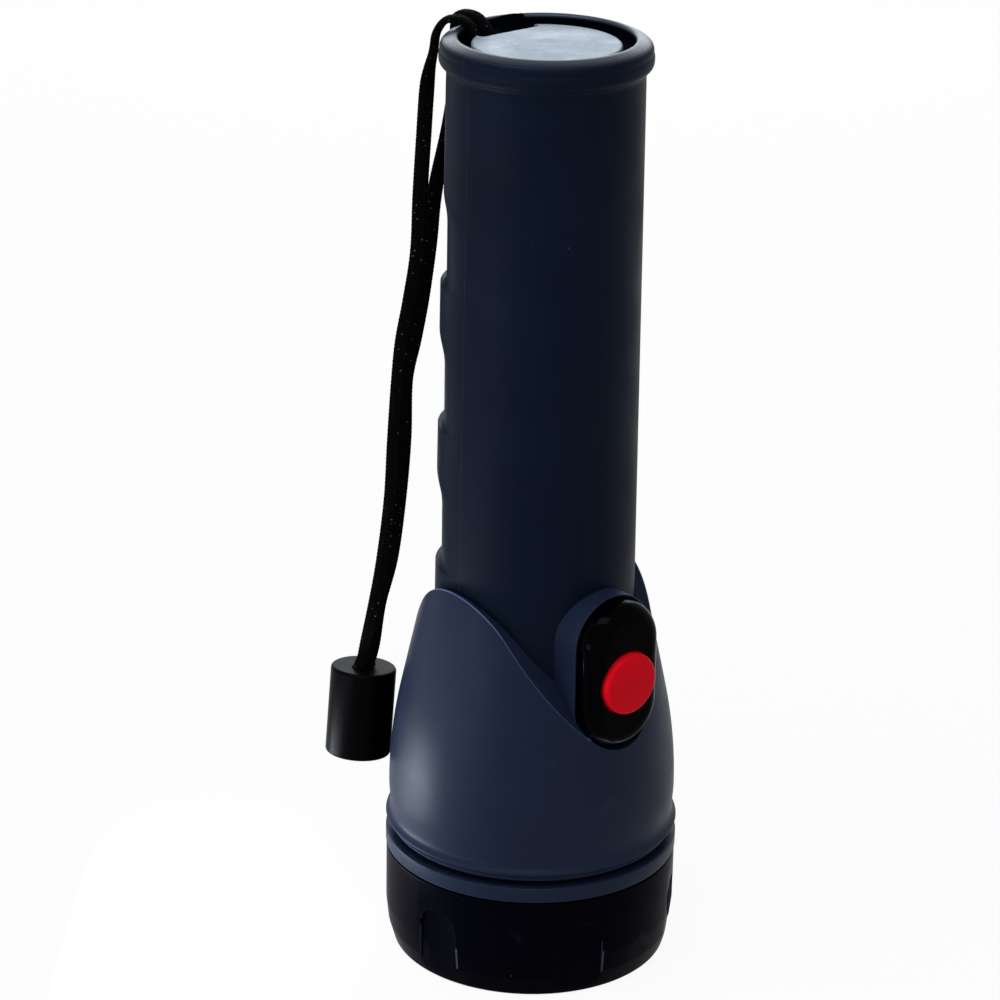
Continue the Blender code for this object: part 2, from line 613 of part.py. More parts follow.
def build_handle(materials, frame):
    """Tapered tube with a rolled tail rim, a bulkhead, finger grips and room for the switch."""
    ledge_top = POCKET_Z + LEDGE_H
    rim_round = (RIM_R - RIM_OPENING_R) / 2
    rim_mid = (RIM_R + RIM_OPENING_R) / 2
    rim_low = RIM_TOP_Z - RIM_H
    profile = [(0, POCKET_Z), (LEDGE_R, POCKET_Z), (LEDGE_R, ledge_top), (RIM_OPENING_R, ledge_top)]
    profile += arc((rim_mid, RIM_TOP_Z - rim_round), rim_round, 180, 0, 7)
    profile += [(RIM_R, rim_low + RIM_FILLET / 2), (RIM_R - 2 * BEAD_PROUD, rim_low)]
    profile += [(TUBE_TAIL_R + RIM_PROUD / 3, rim_low - RIM_FILLET / 2)]
    profile += [(TUBE_TAIL_R + BEAD_PROUD, rim_low - RIM_FILLET), (TUBE_TAIL_R, rim_low - RIM_FILLET - BEAD_H)]
    profile += [
        (TUBE_HEAD_R, TUBE_Z + TUBE_FLANGE_T), (NECK_R, TUBE_Z + TUBE_FLANGE_T), (NECK_R, TUBE_Z),
        (BORE_R, TUBE_Z), (BORE_R, BULKHEAD_Z), (0, BULKHEAD_Z),
    ]
    tube = turned("handle_tube", profile, BIG_STEPS, materials["slate_rubber"])

    swell_low = TUBE_Z + TUBE_FLANGE_T + OVERRUN
    swell_top = GRIP_FIRST_Z + (GRIP_COUNT - 1) * GRIP_PITCH + GRIP_LENGTH - GRIP_RUNOUT
    core = (BORE_R + TUBE_TAIL_R) / 2
    profile = [
        (core, swell_top + GRIP_SWELL_TOP), (tube_radius(swell_top) - GRIP_SWELL, swell_top + GRIP_SWELL_TOP),
        (tube_radius(swell_top), swell_top), (tube_radius(swell_low), swell_low), (core, swell_low),
    ]
    swell = turned("grip_swell", profile, BIG_STEPS, closed=True, shift=(0, GRIP_SWELL, 0))
    combine(tube, swell, "UNION")
    for number in range(GRIP_COUNT):
        cut(tube, finger_groove(number))

    width = CAP_SLOT_HALF_W
    pocket_y = RIM_OPENING_R - FIT
    pocket_low = (-width, CAP_SLOT_Y + POCKET_DEPTH, POCKET_Z + POCKET_FLOOR)
    pocket = block("cord_pocket", pocket_low, (width, pocket_y, RIM_TOP_Z))
    pin_z = POCKET_Z + CORD_PIN_RISE
    hole = CORD_PIN_HALF + FIT
    hole_ends = [(side * hole, CORD_PIN_Y, pin_z) for side in (-1, 1)]
    pin_hole = rod("cord_pin_hole", CORD_PIN_R + FIT, *hole_ends, SMALL_STEPS)
    channel_low = (-CHANNEL_W / 2, -BORE_R - CHANNEL_DEPTH, TUBE_Z - OVERRUN)
    channel = block("strip_channel", channel_low, (CHANNEL_W / 2, -BORE_R / 2, BULKHEAD_Z))
    half = SWITCH_BODY_SIDE / 2 + FIT
    window = prism("switch_window", rectangle(-half, half, -BUTTON_DROP - half, -BUTTON_DROP + half),
                   -SWITCH_BODY_SINK - SWITCH_BODY_T - 2 * OVERRUN, 0, parent=frame)
    cut(tube, pocket, pin_hole, channel, window)


def finger_groove(number):
    """Cutter for one groove: a soft run-out towards the tail and a steep ledge towards the head."""
    low = GRIP_FIRST_Z + number * GRIP_PITCH
    high = low + GRIP_LENGTH
    outside = RIM_R + OVERRUN
    middle = tube_radius((low + high) / 2)
    offset = GRIP_DEPTH / (1 - math.cos(GRIP_HALF_ANGLE))
    floor = middle + offset - GRIP_DEPTH
    ledge = arc((floor + GRIP_LEDGE_R, low + GRIP_LEDGE_R), GRIP_LEDGE_R, 270, 180, 3)
    run_high = floor + GRIP_DEPTH + GRIP_SWELL
    profile = [(outside, high), (outside, low)] + ledge
    profile += [(floor, high - GRIP_RUNOUT), (floor + GRIP_DEPTH / 4, high - GRIP_RUNOUT / 2), (run_high, high)]
    return turned(f"finger_groove_{number + 1}", profile, BIG_STEPS, closed=True, shift=(0, -offset, 0))


def build_shell(materials, frame):
    """Flared shell cut by two slopes into a petal on each side, with the boss of the switch."""
    lip_z = SHELL_Z + SHELL_LIP_H
    throat_z = lip_z + SHELL_THROAT_H
    throat_r = SHELL_BELLY_R - SHELL_THROAT_W
    lip_round = SHELL_LIP_H / 4
    bottom_r = SHELL_LIP_R - SHELL_UNDERCUT
    count = 6
    heights = [SHELL_TOP_Z - (SHELL_TOP_Z - SHELL_BELLY_Z) * i / count for i in range(count + 1)]
    outer = [(shell_radius(height), height) for height in heights]
    foot = [
        (throat_r, throat_z), (throat_r, lip_z + SHELL_THROAT_H / 3), (SHELL_LIP_R - lip_round, lip_z + lip_round / 2),
        (SHELL_LIP_R, lip_z - lip_round / 2), (SHELL_LIP_R - lip_round / 2, lip_z - 1.5 * lip_round),
        (bottom_r, SHELL_Z + SHELL_LIP_H / 4), (bottom_r, SHELL_Z), (0, SHELL_Z),
    ]
    shell = turned("head_shell", [(0, SHELL_TOP_Z)] + outer + foot, BIG_STEPS, materials["slate_plastic"])
    combine(shell, roof("roof", 0), "INTERSECT")

    boss_w = COVER_HALF_W + FIT + BOSS_WALL
    boss = prism("switch_boss", stadium(boss_w, COVER_STRAIGHT, 16), -SWITCH_REACH / 2, -BOSS_EDGE_LOW, parent=frame)
    combine(shell, boss, "UNION")

    throat_bore = throat_r - SHELL_WALL
    inner = [(shell_radius(height) - SHELL_WALL, height) for height in heights]
    throat_low = SHELL_Z - OVERRUN
    inner = [(0, SHELL_TOP_Z)] + inner + [(throat_bore, throat_z), (throat_bore, throat_low), (0, throat_low)]
    cavity = turned("shell_cavity", inner, BIG_STEPS)
    # Half a step of turn keeps the cavity's edges clear of the bores' edges
    cavity.rotation_euler.z = math.pi / BIG_STEPS
    combine(cavity, roof("cavity_roof", SHELL_WALL / math.cos(PETAL_SLOPE)), "INTERSECT")

    line = [(height, tube_radius(height) + FIT) for height in (SHELL_TOP_Z + OVERRUN * 2, SHELL_Z)]
    bore = [(0, line[0][0]), (line[0][1], line[0][0]), (line[1][1], line[1][0]), (0, line[1][0])]
    tube_bore = turned("tube_bore", bore, BIG_STEPS)
    swell_bore = turned("swell_bore", bore, BIG_STEPS, shift=(0, GRIP_SWELL, 0))
    seat_w = COVER_HALF_W + FIT
    seat = prism("cover_seat", stadium(seat_w, COVER_STRAIGHT, 16), -COVER_SINK - FIT, SWITCH_REACH / 2, parent=frame)
    well_w = COVER_HALF_W - COVER_WALL
    well = prism("switch_well", stadium(well_w, COVER_STRAIGHT), -SWITCH_REACH / 2 - OVERRUN, 0, parent=frame)
    cut(shell, cavity, tube_bore, swell_bore, seat, well)


def build_switch(materials, frame):
    """Gloss cover, push button on its stem and the latching switch behind it."""
    cover = prism("switch_cover", stadium(COVER_HALF_W, COVER_STRAIGHT, 16), -COVER_SINK, COVER_RISE,
                  materials["gloss_black"], frame, COVER_SHOULDER, 5)
    under_w = COVER_HALF_W - COVER_WALL
    under = prism("cover_underside", stadium(under_w, COVER_STRAIGHT), -COVER_SINK - OVERRUN,
                  COVER_RISE - COVER_PLATE_T, parent=frame)
    hole = rod("button_hole", BUTTON_R + RUN_FIT, (0, -BUTTON_DROP, -OVERRUN), (0, -BUTTON_DROP, COVER_RISE + OVERRUN),
               MID_STEPS, parent=frame)
    cut(cover, under, hole)

    face = COVER_RISE + BUTTON_RISE
    flange_top = COVER_RISE - COVER_PLATE_T - FIT
    flange_low = flange_top - BUTTON_FLANGE_T
    body_top = -SWITCH_BODY_SINK
    stem_low = body_top - STEM_ENTRY
    profile = [(0, face)] + arc((BUTTON_R - BUTTON_EDGE, face - BUTTON_EDGE), BUTTON_EDGE, 90, 0, 4)
    profile += [
        (BUTTON_R, flange_top), (BUTTON_R + BUTTON_FLANGE_W, flange_top), (BUTTON_R + BUTTON_FLANGE_W, flange_low),
        (STEM_R, flange_low), (STEM_R, stem_low), (0, stem_low),
    ]
    turned("push_button", profile, MID_STEPS, materials["red_plastic"], parent=frame, shift=(0, -BUTTON_DROP, 0))

    half = SWITCH_BODY_SIDE / 2
    body = prism("switch_body", rectangle(-half, half, -BUTTON_DROP - half, -BUTTON_DROP + half),
                 body_top - SWITCH_BODY_T, body_top, materials["black_plastic"], frame)
    socket_ends = [(0, -BUTTON_DROP, height) for height in (body_top - SWITCH_SOCKET_DEPTH, body_top + OVERRUN)]
    socket = rod("stem_socket", STEM_R + RUN_FIT, *socket_ends, SMALL_STEPS, parent=frame)
    cut(body, socket)


def build_strips(materials):
    """Contact strips in the channel: tail plate to switch, and switch to the contact ring."""
    outside = BORE_R + CHANNEL_DEPTH - FIT
    inside = outside - STRIP_T
    half = SWITCH_BODY_SIDE / 2
    top_edge = SWITCH_Z - BUTTON_DROP + half
    low_edge = SWITCH_Z - BUTTON_DROP - half
    width = STRIP_W / 2
    block("tail_strip", (-width, -outside, top_edge + FIT), (width, -inside, PLATE_Z - FIT), materials["brass"])
    foot_z = HOLDER_TOP_Z - HOLDER_STEP_H + FIT
    outline = [
        (-outside, low_edge - FIT), (-outside, foot_z), (-BORE_R, foot_z),
        (-BORE_R, foot_z + STRIP_FOOT_H), (-inside, foot_z + STRIP_FOOT_H), (-inside, low_edge - FIT),
    ]
    strip = prism("head_strip", outline, -width, width, materials["brass"])
    strip.rotation_euler = Matrix(((0, 0, 1), (1, 0, 0), (0, 1, 0))).to_euler()


def build_tail_spring(materials):
    """Conical spring that presses on the last cell, and the plate it stands on."""
    curve = bpy.data.curves.new("tail_spring", "CURVE")
    curve.dimensions = "3D"
    curve.bevel_depth = SPRING_WIRE_R
    curve.bevel_resolution = 1
    curve.use_fill_caps = True
    count = SPRING_TURNS * SPRING_POINTS_PER_TURN
    low = SPRING_Z + SPRING_WIRE_R
    rise = SPRING_H - 2 * SPRING_WIRE_R
    centres = []
    for i in range(count + 1):
        share = i / count
        angle = 2 * math.pi * SPRING_TURNS * share
        radius = SPRING_TIP_R + (SPRING_TOP_R - SPRING_TIP_R) * share
        centres.append(Vector((radius * math.cos(angle), radius * math.sin(angle), low + rise * share)))
    spline = curve.splines.new("POLY")
    spline.points.add(count)
    for point, centre in zip(spline.points, centres):
        point.co = (*centre, 1)
    curve.materials.append(materials["spring_steel"])
    spring = bpy.data.objects.new("tail_spring", curve)
    bpy.data.collections[PARTS].objects.link(spring)
    gap = min(
        (centres[i] - centres[j]).length
        for i in range(count + 1)
        for j in range(i + SPRING_POINTS_PER_TURN // 2, count + 1)
    )
    print(f"tail_spring: least gap to itself {(gap - 2 * SPRING_WIRE_R) / MM:.2f} mm")
    profile = [(0, PLATE_Z + PLATE_T), (PLATE_R, PLATE_Z + PLATE_T), (PLATE_R, PLATE_Z), (0, PLATE_Z)]
    plate = turned("tail_plate", profile, MID_STEPS, materials["spring_steel"])
    reach = BORE_R + CHANNEL_DEPTH - FIT
    tab = block("tail_plate_tab", (-STRIP_W / 2, -reach, PLATE_Z + MERGE), (STRIP_W / 2, 0, PLATE_Z + PLATE_T - MERGE))
    combine(plate, tab, "UNION")


def build_tail_cap(materials):
    """Cap that closes the tail pocket and leaves a slot for the cord, and the pin in that slot."""
    top = RIM_TOP_Z - CAP_SET_BACK
    low = POCKET_Z + FIT
    under = top - CAP_PLATE_T
    edge_top = top - CAP_CROWN
    inner_r = CAP_R - CAP_WALL
    profile = [
        (0, top), (CAP_R / 2, edge_top + CAP_CROWN * 3 / 4), (CAP_R - CAP_EDGE, edge_top),
        (CAP_R, edge_top - CAP_EDGE), (CAP_R, low), (inner_r, low), (inner_r, under), (0, under),
    ]
    cap = turned("tail_cap", profile, BIG_STEPS, materials["grey_plastic"])
    width = CAP_SLOT_HALF_W
    slot = block("cap_slot", (-width, CAP_SLOT_Y, low - OVERRUN), (width, CAP_R + OVERRUN, top + OVERRUN))
    cut(cap, slot)
    pin_z = POCKET_Z + CORD_PIN_RISE
    rod("cord_pin", CORD_PIN_R, (-CORD_PIN_HALF, CORD_PIN_Y, pin_z), (CORD_PIN_HALF, CORD_PIN_Y, pin_z), SMALL_STEPS,
        materials["spring_steel"])


def around(angle, radius, height):
    """A point by its angle from +Y towards -X in degrees, its distance from the axis and its height, in mm."""
    turn = math.radians(angle)
    return Vector((-radius * math.sin(turn) * MM, radius * math.cos(turn) * MM, height * MM))


def smooth_route(points, samples):
    """Points of the smooth curve through a route's own points."""
    padded = [2 * points[0] - points[1]] + points + [2 * points[-1] - points[-2]]
    route = []
    for i in range(len(points) - 1):
        a, b, c, d = padded[i:i + 4]
        for step in range(samples):
            t = step / samples
            route.append(0.5 * (2 * b + (c - a) * t + (2 * a - 5 * b + 4 * c - d) * t ** 2
                                + (3 * b - a - 3 * c + d) * t ** 3))
    route.append(points[-1])
    return route


def stopper_matrix():
    """Place of the stopper: its local origin is its top's centre and its foot leans on the shell's belly."""
    reach = SHELL_BELLY_R + FIT + STOPPER_R
    foot = Vector((-reach * math.sin(STOPPER_SIDE), reach * math.cos(STOPPER_SIDE), STOPPER_FOOT_Z))
    turn = Matrix.Rotation(STOPPER_LEAN_SIDE, 4, "Z") @ Matrix.Rotation(STOPPER_LEAN, 4, "Y")
    return Matrix.Translation(foot) @ turn @ Matrix.Translation((0, 0, STOPPER_LENGTH))


def build_cord(materials):
    """Two strands from the pin, over the rim and down to the stopper, which leans on the shell."""
    place = stopper_matrix()
    top = place.translation
    down = place.to_3x3() @ Vector((0, 0, -1))
    spread = Vector((math.cos(STRAND_SIDE), math.sin(STRAND_SIDE), 0)) * STRAND_SPREAD
    front = [
        around(23, 15.6, 195.1), around(24.5, 15.8, 197.3), around(27, 17.0, 199.6), around(29.5, 19.0, 200.6),
        around(30.5, 21.5, 200.1), around(32, 23.1, 197.6), around(33.5, 23.5, 194.0), around(34.8, 24.5, 188.0),
        around(35.2, 25.2, 176.0), around(35.5, 25.8, 164.0), around(35.7, 26.2, 152.0), around(36.6, 27.6, 141.5),
        around(37.2, 29.1, 132.5), around(37.5, 29.9, 123.0), around(37.8, 30.6, 110.5), around(38.1, 31.2, 97.5),
        around(39.0, 32.7, 83.5), around(40.8, 34.3, 73.0),
    ]
    front += [top + Vector((-0.5, -1.7, 5.8)) * MM, top + Vector((-0.9, -1.2, 2.4)) * MM, top + spread]
    rear = [
        around(11, 14.8, 195.1), around(11.5, 15.1, 197.3), around(13, 16.8, 199.6), around(15, 18.8, 200.6),
        around(14.5, 21.5, 200.1), around(12, 23.1, 197.6), around(10.5, 23.6, 190.0), around(12.8, 23.8, 181.5),
        around(20.0, 24.1, 170.5), around(25.4, 24.5, 162.0), around(27.6, 24.9, 153.0), around(28.8, 26.2, 141.5),
        around(30.0, 27.6, 132.5), around(30.7, 29.4, 123.0), around(30.9, 29.6, 110.5), around(31.8, 30.4, 97.5),
        around(33.2, 31.9, 83.5), around(35.0, 34.2, 73.0),
    ]
    rear += [top + Vector((2.4, -0.3, 5.8)) * MM, top + Vector((2.0, 0.2, 2.4)) * MM, top - spread]
    for name, route in (("front", front), ("rear", rear)):
        route.append(route[-1] + down * STOPPER_SLOT_DEPTH * STRAND_DEPTH_SHARE)
        strand(f"cord_strand_{name}", smooth_route(route, CORD_SAMPLES), materials["cord_black"])

    edge = STOPPER_EDGE
    profile = [(0, 0)] + arc((STOPPER_R - edge, -edge), edge, 90, 0, 3)
    profile += arc((STOPPER_R - edge, edge - STOPPER_LENGTH), edge, 0, -90, 3) + [(0, -STOPPER_LENGTH)]
    stopper = turned("cord_stopper", profile, MID_STEPS, materials["stopper_black"])
    stopper.matrix_world = place
    slot = prism("stopper_slot", stadium(STOPPER_SLOT_R, 2 * STRAND_SPREAD), -STOPPER_SLOT_DEPTH, OVERRUN)
    slot.matrix_world = place @ Matrix.Rotation(STRAND_SIDE - STOPPER_LEAN_SIDE - math.pi / 2, 4, "Z")
    cut(stopper, slot)


def strand(name, route, material):
    """A round cord along a route."""
    curve = bpy.data.curves.new(name, "CURVE")
    curve.dimensions = "3D"
    curve.bevel_depth = CORD_R
    curve.bevel_resolution = 2
    curve.use_fill_caps = True
    spline = curve.splines.new("POLY")
    spline.points.add(len(route) - 1)
    for point, place in zip(spline.points, route):
        point.co = (*place, 1)
    curve.materials.append(material)
    obj = bpy.data.objects.new(name, curve)
    bpy.data.collections[PARTS].objects.link(obj)
    length = sum((b - a).length for a, b in zip(route, route[1:]))
    print(f"{name}: {length / MM:.1f} mm long, {len(route)} points")


def shade_round(angle=math.radians(35)):
    """Shade every mesh part smooth, with sharp edges where its faces meet steeply."""
    for obj in bpy.data.collections[PARTS].objects:
        if obj.type == "MESH":
            obj.data.shade_smooth()
            obj.data.set_sharp_from_angle(angle=angle)


def main():
    """Build the torch."""
    clear_scene()
    materials = make_materials()
    frame = switch_frame()
    build_cells(materials)
    build_front_ring(materials)
    build_window(materials)
    build_light_module(materials)
    build_collar(materials)
    build_handle(materials, frame)
    build_shell(materials, frame)
    build_switch(materials, frame)
    build_strips(materials)
    build_tail_spring(materials)
    build_tail_cap(materials)
    build_cord(materials)
    shade_round()


main()
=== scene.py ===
"""Looks of a slate handle torch: its camera, cord, moulded pieces, finishes and studio stage."""
import math

import bmesh
import bpy
from bpy.props import FloatProperty, FloatVectorProperty, IntProperty, PointerProperty
from mathutils import Matrix, Vector


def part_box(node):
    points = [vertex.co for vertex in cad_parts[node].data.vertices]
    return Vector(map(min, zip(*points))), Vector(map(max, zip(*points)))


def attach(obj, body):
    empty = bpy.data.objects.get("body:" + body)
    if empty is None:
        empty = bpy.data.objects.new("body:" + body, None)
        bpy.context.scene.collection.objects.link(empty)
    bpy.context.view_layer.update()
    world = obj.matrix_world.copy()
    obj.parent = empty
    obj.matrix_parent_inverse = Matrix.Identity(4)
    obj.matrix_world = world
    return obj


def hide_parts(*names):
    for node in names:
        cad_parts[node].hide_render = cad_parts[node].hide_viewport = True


bl_info = {
    "name": "Handle torch",
    "version": (1, 0, 0),
    "blender": (4, 5, 0),
    "location": "3D View > Sidebar > Torch",
    "description": "Dresses the torch's solids with finished pieces, materials, light and a camera",
    "category": "Object",
}

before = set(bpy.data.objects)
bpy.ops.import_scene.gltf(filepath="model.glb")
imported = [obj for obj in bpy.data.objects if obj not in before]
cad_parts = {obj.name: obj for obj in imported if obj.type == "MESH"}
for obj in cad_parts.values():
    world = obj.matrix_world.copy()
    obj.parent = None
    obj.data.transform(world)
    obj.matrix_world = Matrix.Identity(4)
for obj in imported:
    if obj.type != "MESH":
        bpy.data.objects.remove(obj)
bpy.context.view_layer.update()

MM = 0.001
TURN = 2 * math.pi

# Sizes that the solids give, in millimetres and radians
RING_R = 30.9
RING_H = 22.45
RING_BORE_R = 28.5
RING_OPENING_R = 25.1
RECESS_COUNT = 6
RECESS_TURN = math.radians(-109.5)
RECESS_TOP_Z = 16.8
COLLAR_R = 31.05
COLLAR_Z = 22.75
COLLAR_TOP_Z = 26.7
SPIGOT_R = 28.1
SPIGOT_BORE_R = 25.2
SPIGOT_Z = 8.2
NECK_R = 27.4
NECK_BORE_R = 25.4
TUBE_Z = 37.38
TUBE_HEAD_R = 21.0
TUBE_TAIL_R = 19.85
BORE_R = 17.45
BULKHEAD_Z = 187.98
POCKET_Z = 189.78
LEDGE_Z = 195.48
LEDGE_R = 15.3
RIM_TOP_Z = 198.98
RIM_R = 21.45
RIM_OPENING_R = 18.1
SHELL_Z = 27.0
SHELL_BELLY_R = 30.4
SHELL_BELLY_Z = 36.5
SHELL_BOW_H = 22.0
SHELL_TOP_Z = 88.4
SHELL_TOP_W = 1.0
SHELL_WALL = 2.4
PETAL_TOP_Z = 85.4
PETAL_NOSE_R = 18.0
PETAL_SLOPE = math.radians(50.4)
PETAL_LEAN = math.radians(19.3)
GRIP_ZS = (87.0, 117.5, 148.0)
GRIP_LENGTH = 23.0
GRIP_RUNOUT = 7.0
GRIP_HALF_ANGLE = math.radians(74)
GRIP_SWELL = 0.6
GRIP_SWELL_Z = 164.0
SWITCH_REACH = 25.0
SWITCH_Z = 70.65
BOSS_WALL = 0.45
SWITCH_BODY_SIDE = 12.0
CHANNEL_W = 5.0
CHANNEL_DEPTH = 1.1
COVER_HALF_W = 9.4
COVER_STRAIGHT = 13.1
COVER_SINK = 1.6
COVER_RISE = 4.8
COVER_PLATE_T = 1.6
COVER_WALL = 1.4
BUTTON_R = 6.6
BUTTON_DROP = 0.95
BUTTON_RISE = 1.4
CAP_R = 15.0
CAP_TOP_Z = 197.98
CAP_SLOT_HALF_W = 7.6
CAP_SLOT_Y = 10.8
STOPPER_R = 7.0
STOPPER_LENGTH = 19.4
STOPPER_FOOT_Z = 39.7
STOPPER_SIDE = math.radians(42.2)
STOPPER_LEAN = math.radians(6.8)
STOPPER_LEAN_SIDE = math.radians(18.8)
STRAND_SPREAD = 1.65
STRAND_SIDE = math.radians(203)
GAP = 0.3

# Sizes and counts that only the dressed pieces have
RIM_CREST_Z = 199.2
BAND_DROP = 0.6
LIP_RISE = 0.45
# Width of the painted highlight along the shell's cut edge
HIGHLIGHT_EDGE_W = 0.28
FLOOR_DROP = 0.05
BRAID_SIDES = 24


def tone(red, green, blue):
    """The linear colour of an 8-bit one."""
    shares = [value / 255 for value in (red, green, blue)]
    return tuple(s / 12.92 if s <= 0.04045 else ((s + 0.055) / 1.055) ** 2.4 for s in shares)


def length_setting(name, text, value):
    """A setting for a length, given in millimetres."""
    return FloatProperty(name=name, description=text, default=value * MM, unit="LENGTH")


def colour_setting(name, text, value):
    """A setting for a colour, given as an 8-bit one."""
    return FloatVectorProperty(name=name, description=text, default=tone(*value), subtype="COLOR")


def power_setting(name, text, value):
    """A setting for the power of a lamp."""
    return FloatProperty(name=name, description=text, default=value, unit="POWER")


class TorchSizes(bpy.types.PropertyGroup):
    """Sizes of the visible detail."""

    steps: IntProperty(
        name="Steps", description="Faces round each turned piece", default=192, min=48, max=256)
    petal_edge: length_setting("Petal edge", "Round on the edge of the shell's petals", 0.28)
    grip_depth: length_setting("Grip depth", "Depth of each finger scoop on the back", 1.7)
    recess_width: length_setting("Recess width", "Width of the thumb recesses of the ring", 10.0)
    recess_depth: length_setting("Recess depth", "Depth of the thumb recesses of the ring", 1.2)
    thread_lead: length_setting("Thread lead", "Rise of the collar's thread in one turn", 4.0)
    cover_shoulder: length_setting("Cover shoulder", "Round on the gloss cover's rim", 3.5)
    button_crown: length_setting("Button crown", "Rise of the button's middle", 0.2)
    cord_width: length_setting("Cord width", "Width of the flat braid", 3.1)
    cord_thickness: length_setting("Cord thickness", "Thickness of the flat braid", 1.5)


class TorchColours(bpy.types.PropertyGroup):
    """Colours of the finishes."""

    handle: colour_setting("Handle", "Soft plastic of the handle", (11, 19, 34))
    shell: colour_setting("Head shell", "Plastic of the shell and the collar", (24, 32, 51))
    ring: colour_setting("Front ring", "Plastic of the front ring", (1, 1, 7))
    cover: colour_setting("Switch cover", "Gloss plastic round the button", (1, 1, 3))
    button: colour_setting("Button", "Plastic of the push button", (216, 9, 28))
    cap: colour_setting("Tail cap", "Plastic of the tail disc", (120, 133, 146))
    cord: colour_setting("Cord", "Yarn of the wrist cord", (3, 3, 4))
    stopper: colour_setting("Stopper", "Plastic of the cord's stopper", (2, 2, 3))


class TorchStudio(bpy.types.PropertyGroup):
    """Light and camera."""

    lens: FloatProperty(
        name="Lens", description="Focal length of the camera", default=132.5, subtype="DISTANCE_CAMERA")
    key: power_setting("Key light", "Power of the top light", 3.6)
    fill: power_setting("Fill light", "Power of the low side light", 0.8)
    glow: power_setting("Glow light", "Power of the small light by the foot", 0.11)
    back: power_setting("Back light", "Power of the light behind the torch", 5.0)
    world: FloatProperty(
        name="World light", description="Soft light from all round", default=0.32, min=0, max=2)


# Shapes


def axis_point(radius, turn, height):
    """A point in millimetres by its radius, its angle from +X and its height."""
    return Vector((radius * math.cos(turn), radius * math.sin(turn), height))


def smooth_line(points, samples):
    """Points of the smooth curve that passes through the given ones."""
    points = [Vector(point) for point in points]
    padded = [2 * points[0] - points[1]] + points + [2 * points[-1] - points[-2]]
    line = []
    for i in range(len(points) - 1):
        a, b, c, d = padded[i:i + 4]
        for step in range(samples):
            t = step / samples
            line.append(0.5 * (2 * b + (c - a) * t + (2 * a - 5 * b + 4 * c - d) * t ** 2
                               + (3 * b - a - 3 * c + d) * t ** 3))
    return line + [points[-1]]


def rounded(corners, count=6):
    """A closed outline through corners (x, y, radius), each turned on its own radius."""
    outline = []
    total = len(corners)
    for i, (x, y, radius) in enumerate(corners):
        corner = Vector((x, y))
        if radius == 0:
            outline.append(corner)
            continue
        before = (Vector(corners[i - 1][:2]) - corner).normalized()
        after = (Vector(corners[(i + 1) % total][:2]) - corner).normalized()
        half = before.angle(after) / 2
        centre = corner + (before + after).normalized() * radius / math.sin(half)
        reach = radius / math.tan(half)
        start = corner + before * reach - centre
        end = corner + after * reach - centre
        sweep = math.pi - 2 * half
        for step in range(count + 1):
            t = step / count
            spoke = (start * math.sin((1 - t) * sweep) + end * math.sin(t * sweep)) / math.sin(sweep)
            outline.append(centre + spoke)
    return outline


def soft_least(a, b, blend):
    """The lesser of two values, with a soft change from one to the other."""
    share = max(blend - abs(a - b), 0) / blend
    return min(a, b) - share * share * blend / 4


def soft_most(a, b, blend):
    """The greater of two values, with a soft change from one to the other."""
    return -soft_least(-a, -b, blend)


def spread(low, high, count):
    """Evenly spaced values from low to high."""
    return [low + (high - low) * i / count for i in range(count + 1)]


def crossing(low, high, inside):
    """The last value, from low to high, at which a test still holds."""
    for _ in range(40):
        middle = (low + high) / 2
        if inside(middle):
            low = middle
        else:
            high = middle
    return low


def round_edge(radius, height, size, first, count):
    """Points of a convex round from its top to its outer side, by its outermost radius and top height."""
    return [Vector((radius - size + size * math.sin(t), height - size + size * math.cos(t)))
            for t in spread(first, math.pi / 2, count)]


def full_spin(bm, geom, steps):
    """Turn an open or closed line once round the Z axis."""
    bmesh.ops.spin(bm, geom=geom, axis=(0, 0, 1), cent=(0, 0, 0), dvec=(0, 0, 0), angle=TURN, steps=steps,
                   use_merge=True, use_duplicate=False)


def spun(profile, steps, closed=False):
    """A turned shape from its profile of (radius, height) in millimetres."""
    bm = bmesh.new()
    verts = [bm.verts.new((point[0] * MM, 0, point[1] * MM)) for point in profile]
    edges = [bm.edges.new(pair) for pair in zip(verts, verts[1:])]
    if closed:
        edges.append(bm.edges.new((verts[-1], verts[0])))
    full_spin(bm, verts + edges, steps)
    tidy(bm)
    return bm


def banded(columns):
    """A closed band, spun as a plain ring and then drawn to its columns of points in millimetres."""
    steps = len(columns)
    count = len(columns[0])
    bm = bmesh.new()
    verts = [bm.verts.new((1, 0, row)) for row in range(count)]
    edges = [bm.edges.new((verts[row - 1], verts[row])) for row in range(count)]
    full_spin(bm, verts + edges, steps)
    for vert in bm.verts:
        step = round(math.atan2(vert.co.y, vert.co.x) / TURN * steps) % steps
        vert.co = columns[step][round(vert.co.z)] * MM
    tidy(bm)
    return bm


def tidy(bm, reach=0.0000005):
    """Merge doubles and turn the faces outwards."""
    bmesh.ops.remove_doubles(bm, verts=bm.verts, dist=reach)
    bmesh.ops.dissolve_degenerate(bm, dist=reach, edges=bm.edges)
    bmesh.ops.recalc_face_normals(bm, faces=bm.faces)


def stadium(half_width, straight, turns=18, sides=8):
    """Outline of a slot with round ends, as points (x, y) with the direction outwards at each."""
    points = []
    half = straight / 2
    for end, first in ((half, 0), (-half, 180)):
        for degrees in spread(first, first + 180, turns):
            out = Vector((math.cos(math.radians(degrees)), math.sin(math.radians(degrees))))
            points.append((Vector((0, end)) + out * half_width, out))
        side, out = points[-1]
        for share in spread(0, 1, sides)[1:-1]:
            points.append((side + Vector((0, -2 * end * share)), out))
    return points


